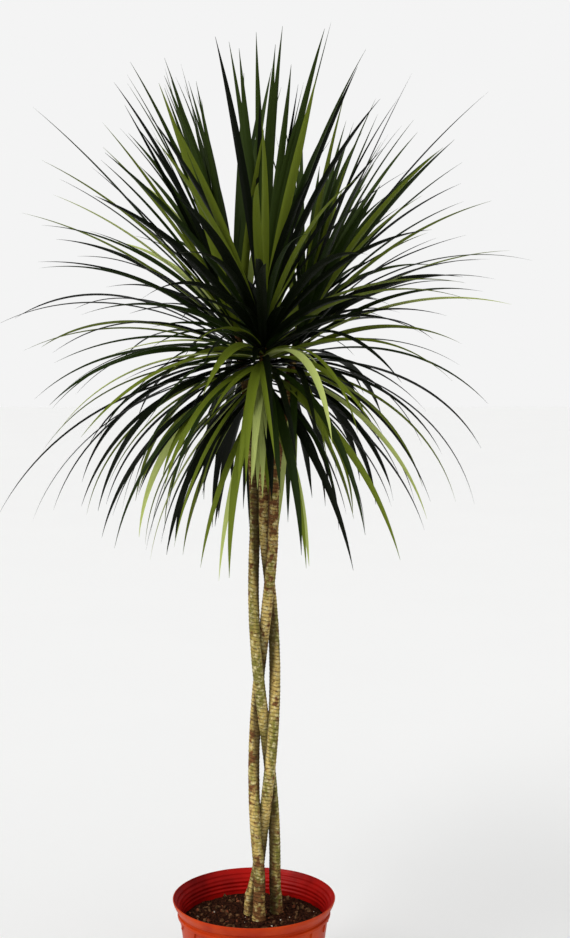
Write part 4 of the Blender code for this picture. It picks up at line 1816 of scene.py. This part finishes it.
@dataclass
class Crown:
    """The three heads of strap leaves with the stems that they grow on.

    A leaf's half width grows from root_width of its greatest, at the root, to all of it at the
    share widest of its length. fold is how far its two halves slope down, and inner_width is
    where the lines between its middle and its edges run, as a share of the half width. The
    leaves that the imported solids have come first, fineness times as wide, and the fillings grow
    among them.
    """

    plait: Plait
    box: tuple[Vector, Vector]
    stations: int = 26
    widest: float = 0.38
    root_width: float = 0.50
    tip_power: float = 1.9
    tip_width: float = 0.03
    fold: float = 0.36
    inner_width: float = 0.60
    fineness: float = 0.95
    box_margin: float = 0.022
    filling_gaps: tuple[SkyGap, ...] = (
        SkyGap((-0.143, 1.080), (-0.174, 1.181), (0.005, 0.012)),
        SkyGap((0.080, 1.120), (0.118, 1.240), (0.004, 0.026)),
    )
    fillings: tuple[Filling, ...] = (
        Filling("left", 2126, 16, 1.10, 1.05, (0.00, 0.08), 5),
        Filling("left", 2323, 16, 0.95, 0.80, (0.00, 0.30), 5),
        Filling("left", 2498, 10, 1.40, 0.85, (0.40, 0.48), 20, 160, 25),
        Filling("left", 1570, 28, 1.40, 0.85, (0.60, 0.68), 10, 180, 25),
        Filling("front", 1172, 8, 1.17, 0.85, (0.00, 0.05), 10),
        Filling("front", 886, 8, 0.85, 1.05, (0.10, 0.40), 15),
        Filling("front", 2235, 26, 0.45, 1.05, (0.30, 0.60), -20),
        Filling("front", 1990, 40, 0.85, 0.80, (0.45, 0.61), -15),
        Filling("front", 1240, 26, 0.65, 1.05, (0.60, 0.90), -10),
        Filling("right", 1735, 8, 0.95, 0.80, (0.00, 0.08), 0),
        Filling("right", 1149, 8, 0.85, 0.80, (0.00, 0.08), -20),
        Filling("right", 1309, 8, 0.75, 1.05, (0.00, 0.30), 20),
        Filling("right", 2730, 22, 1.15, 0.90, (0.20, 0.26), 10, -15, 20),
        Filling("right", 238, 8, 1.35, 0.90, (0.20, 0.26), 20, -15, 30),
        Filling("right", 2644, 18, 1.00, 0.85, (0.30, 0.45), -10, -20, 60),
        Filling("right", 2591, 8, 1.25, 0.90, (0.50, 0.56), 20, 0, 30),
        Filling("right", 2540, 16, 0.85, 0.80, (0.60, 0.68), 15),
    )
    # Painted light and shade: the greens are lit and shaded copies of the leaves' green, dealt by
    # how a leaf stands, with half the leaves that hang in front painted sunlit.
    greens: tuple[Green, ...] = (
        Green(LeafTint.DEEP, (0.002, 0.004, 0.0004), 0.44, 0.16, 0.54),
        Green(LeafTint.MIDDLE, (0.010, 0.020, 0.0015), 0.17, 0.12, 0.24),
        Green(LeafTint.BRIGHT, (0.115, 0.150, 0.012), 0.34, 0.22, 0.18),
        Green(LeafTint.SUNLIT, (0.380, 0.440, 0.130), 0.05, 0.50, 0.04),
    )
    upright_rise: float = 0.10
    hanging_fall: float = 0.05
    front_slant: float = 1.6
    young_colour: Colour = (0.022, 0.038, 0.004)
    young_age: float = 0.10
    stem_finish: BarkFinish = BarkFinish("stem_bark", green=0.6, rust=0.9)
    stem_seed: int = 40
    stem_path_points: int = 40
    stem_tube: RingedTube = field(
        default_factory=lambda: RingedTube(segments=280, sides=20, ring_pitch=0.0038)
    )

    def build(self) -> None:
        """Makes each head's stem and its leaves, one piece for each green."""
        rule = LeafRule(self.plait)
        bark = self.stem_finish.material()
        colours = {green.tint: green.colour for green in self.greens}
        colours[LeafTint.YOUNG] = self.young_colour
        greens = {}
        for tint, colour in colours.items():
            greens[tint] = LeafFinish(f"leaf_{tint.value}", colour).material()
        for number, head in enumerate(self.plait.heads):
            node = f"leaves_{head.name}"
            show(self.stem(rule, head, bark, number), "cane_bark", node)
            for tint, dealt in self.deal(self.leaves(rule, head), head.seed).items():
                name = f"{node}_{tint.value}"
                show(self.blades(name, dealt, greens[tint]), "leaf_green", node)

    def leaves(self, rule: LeafRule, head: Head) -> list[Leaf]:
        """Grows a head's leaves and its fillings.

        Args:
            rule: How leaves grow.
            head: The head.

        Returns:
            All its leaves.
        """
        grown = replace(rule, leaf_width=rule.leaf_width * self.fineness).leaves(head, True)
        for filling in self.fillings:
            if filling.head != head.name:
                continue
            finer = replace(
                rule,
                leaf_width=rule.leaf_width * filling.width,
                ages=filling.ages,
                tilt=math.radians(filling.tilt),
                gaps=rule.gaps + self.filling_gaps,
            )
            more = replace(
                head,
                seed=head.seed + filling.seed_step,
                candidates=filling.candidates,
                vigour=head.vigour * filling.vigour,
            )
            added = finer.leaves(more, False)
            grown += [leaf for leaf in added if filling.faces(leaf) and self.in_box(leaf)]
        return grown

    def in_box(self, leaf: Leaf) -> bool:
        """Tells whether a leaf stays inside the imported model's box or close to it.

        Args:
            leaf: The leaf.

        Returns:
            Whether it does.
        """
        low, high = (np.array(corner) for corner in self.box)
        inside = (leaf.places > low - self.box_margin) & (leaf.places < high + self.box_margin)
        return bool(np.all(inside))

    def deal(self, leaves: list[Leaf], seed: int) -> dict[LeafTint, list[Leaf]]:
        """Deals the greens out to a head's leaves by their shares.

        Args:
            leaves: The leaves.
            seed: Sets the deal.

        Returns:
            The leaves of each green.
        """
        chance = np.random.default_rng(seed)
        dealt: dict[LeafTint, list[Leaf]] = {tint: [] for tint in LeafTint}
        for leaf in leaves:
            pick = self.greens[chance.choice(len(self.greens), p=self.shares(leaf))].tint
            dealt[LeafTint.YOUNG if leaf.age < self.young_age else pick].append(leaf)
        return dealt

    def shares(self, leaf: Leaf) -> list[float]:
        """Lists each green's share of the leaves that stand or hang as one leaf does.

        Args:
            leaf: The leaf.

        Returns:
            The shares, which add up to 1.
        """
        across, back, up = leaf.places[-1] - leaf.places[0]
        # Painted light and shade: how a leaf stands sets its chances of a lit or a shaded green.
        if up > self.upright_rise:
            return [green.upright for green in self.greens]
        if up < -self.hanging_fall and back < -self.front_slant * abs(across):
            return [green.hanging for green in self.greens]
        return [green.aside for green in self.greens]

    def stem(
        self, rule: LeafRule, head: Head, bark: bpy.types.Material, number: int
    ) -> bpy.types.Object:
        """Makes the stem inside a head.

        Args:
            rule: How leaves and stems grow.
            head: The head.
            bark: The stem's material.
            number: Sets its pattern apart.

        Returns:
            The stem.
        """
        plait = self.plait
        shares = np.linspace(0.0, 1.0, self.stem_path_points)
        points = np.array([rule.stem_place(head, share) for share in shares])
        radii = plait.tip_radius + (rule.stem_top_radius - plait.tip_radius) * shares
        name = f"stem_{head.name}"
        seed = self.stem_seed + number
        return self.stem_tube.build(name, points, radii, plait.middle_x, bark, seed)

    def half_width(self, leaf: Leaf, shares: np.ndarray) -> np.ndarray:
        """Finds a leaf's half width: narrow at the root, widest before the middle, a fine tip.

        Args:
            leaf: The leaf.
            shares: The shares of its length.

        Returns:
            The half width at each share.
        """
        swell = np.sin(np.minimum(shares / self.widest, 1.0) * math.pi / 2)
        rise = self.root_width + (1 - self.root_width) * swell
        past = np.clip((shares - self.widest) / (1 - self.widest), 0.0, 1.0)
        return leaf.width / 2 * rise * np.maximum(1 - past**self.tip_power, self.tip_width)

    def blades(self, name: str, leaves: list[Leaf], green: bpy.types.Material) -> bpy.types.Object:
        """Makes leaves of one green as folded strips.

        Args:
            name: The piece's name.
            leaves: The leaves.
            green: The material of the blade.

        Returns:
            All the leaves as one mesh.
        """
        shares = np.linspace(0.0, 1.0, self.stations)
        paths, widths, sides = [], [], []
        for leaf in leaves:
            columns = [np.interp(shares, leaf.shares, column) for column in leaf.places.T]
            path = np.stack(columns, axis=1)
            along = np.gradient(path, axis=0)
            along /= np.linalg.norm(along, axis=1)[:, None]
            across = np.cross(along, (0.0, 0.0, 1.0))
            across /= np.linalg.norm(across, axis=1)[:, None]
            up = np.cross(across, along)
            paths.append(path)
            widths.append(self.half_width(leaf, shares))
            sides.append(math.cos(leaf.roll) * across + math.sin(leaf.roll) * up)
        carried = {"half_width": np.concatenate(widths), "side": np.concatenate(sides)}
        return self.blade_tree(green).run(path_mesh(name, paths, carried), name)

    def blade_tree(self, green: bpy.types.Material) -> PieceTree:
        """Builds the tree that lays a folded section along each leaf's path.

        The section has five points: the middle, one inner point on each side, and the two edges.

        Args:
            green: The material of the blade.

        Returns:
            The tree.
        """
        tree = PieceTree("leaf_blades")
        fold = tree.size("Fold", self.fold)
        inner = tree.size("Inner Width", self.inner_width)
        blade_green = tree.size("Blade Green", green, "Material")
        curve = tree.node("GeometryNodeMeshToCurve", {"Mesh": tree.entry.outputs[0]}).outputs[0]
        turned = {"Curve": curve, "Normal": tree.named("side", "FLOAT_VECTOR")}
        turned = tree.node("GeometryNodeSetCurveNormal", turned, mode="FREE")
        along = tree.node("GeometryNodeSplineParameter").outputs["Factor"]
        marked = tree.store(turned.outputs[0], "along", along)
        line = {"Count": 5, "Start Location": (-1.0, 0.0, 0.0), "Offset": (0.5, 0.0, 0.0)}
        line = tree.node("GeometryNodeMeshLine", line, mode="OFFSET")
        x = tree.part_of_place("X")
        bend = tree.maths("SUBTRACT", tree.maths("MULTIPLY", inner, 4.0), 1.0)
        pull = tree.maths("MULTIPLY", tree.maths("ABSOLUTE", x), tree.maths("SUBTRACT", bend, 1.0))
        wide = tree.maths("MULTIPLY", x, tree.maths("SUBTRACT", bend, pull))
        slope = tree.maths("MULTIPLY", fold, -1.0)
        raised = tree.maths("MULTIPLY", tree.maths("ABSOLUTE", wide), slope)
        corner = tree.node("ShaderNodeCombineXYZ", {"X": wide, "Y": raised}).outputs[0]
        placed = {"Geometry": line.outputs[0], "Position": corner}
        placed = tree.node("GeometryNodeSetPosition", placed).outputs[0]
        known = tree.store(placed, "across", tree.part_of_place("X"))
        section = tree.node("GeometryNodeMeshToCurve", {"Mesh": known}).outputs[0]
        strips = {"Curve": marked, "Profile Curve": section, "Scale": tree.named("half_width")}
        strips = tree.node("GeometryNodeCurveToMesh", strips)
        flat = {"X": tree.named("across"), "Y": tree.named("along")}
        flat = tree.node("ShaderNodeCombineXYZ", flat).outputs[0]
        mapped = tree.store(strips.outputs[0], "leaf_map", flat, "FLOAT2", "CORNER")
        tree.finish(mapped, blade_green)
        return tree


@dataclass(frozen=True)
class Lamp:
    """One broad lamp: its strength, its width in degrees and the side that it shines from."""

    name: str
    strength: float
    width: float
    side: tuple[float, float, float]


@dataclass(frozen=True)
class Studio:
    """The pale floor, the soft light and the camera at the photograph's viewing angle.

    backdrop is how bright the empty background looks, and fill is the light from all sides.
    """

    camera_place: tuple[float, float, float] = VIEWPOINT
    camera_tilt: float = math.radians(4.1)
    lens: float = 53.27
    floor_size: float = 60.0
    floor_cells: int = 24
    backdrop: float = 0.905
    fill: float = 0.32
    lamps: tuple[Lamp, ...] = (
        Lamp("key", 2.3, 45.0, (-0.72, -0.62, 0.80)),
        Lamp("front", 1.2, 80.0, (0.30, -0.85, 0.75)),
    )

    def build(self) -> None:
        """Makes the floor, the light and the camera."""
        shape = bmesh.new()
        cells = self.floor_cells
        bmesh.ops.create_grid(shape, x_segments=cells, y_segments=cells, size=self.floor_size / 2)
        mesh = plain_mesh("studio_floor", shape)
        mesh.materials.append(FloorFinish().material())
        new_object("studio_floor", mesh)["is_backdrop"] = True
        self.light()
        self.camera()

    def light(self) -> None:
        """Makes a pale backdrop, a dimmer light from all sides, and two broad lamps."""
        world = bpy.data.worlds.new("studio_light")
        world.use_nodes = True
        bench = NodeBench(world.node_tree)
        seen = bench.node("ShaderNodeLightPath").outputs["Is Camera Ray"]
        levels = {"Value": seen, "To Min": self.fill, "To Max": self.backdrop}
        level = bench.node("ShaderNodeMapRange", levels)
        background = world.node_tree.nodes["Background"]
        background.inputs["Color"].default_value = (1.0, 1.0, 1.0, 1.0)
        bench.feed(background.inputs["Strength"], level.outputs["Result"])
        bpy.context.scene.world = world
        bpy.context.scene.view_settings.view_transform = "Standard"
        for lamp in self.lamps:
            light = bpy.data.lights.new(lamp.name, "SUN")
            light.energy = lamp.strength
            light.angle = math.radians(lamp.width)
            holder = new_object(lamp.name, light)
            holder.rotation_euler = Vector(lamp.side).to_track_quat("Z", "Y").to_euler()

    def camera(self) -> None:
        """Makes the camera."""
        camera = bpy.data.cameras.new("camera")
        camera.lens = self.lens
        camera.clip_end = 2 * self.floor_size
        holder = new_object("camera", camera)
        holder.location = self.camera_place
        holder.rotation_euler = (math.pi / 2 - self.camera_tilt, 0.0, 0.0)
        bpy.context.scene.camera = holder


def main() -> None:
    """Builds the pot, the mix, the canes and the crown."""
    logging.basicConfig(level=logging.INFO, format="%(name)s %(message)s")
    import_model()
    solid_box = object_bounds()
    pot = NurseryPot()
    plait = Plait()
    parts = (Studio(), pot, PottingSoil(pot, plait), Canes(plait), Crown(plait, solid_box))
    for part in parts:
        part.build()
        LOG.info("%s is built", type(part).__name__)


if __name__ == "__main__":
    main()
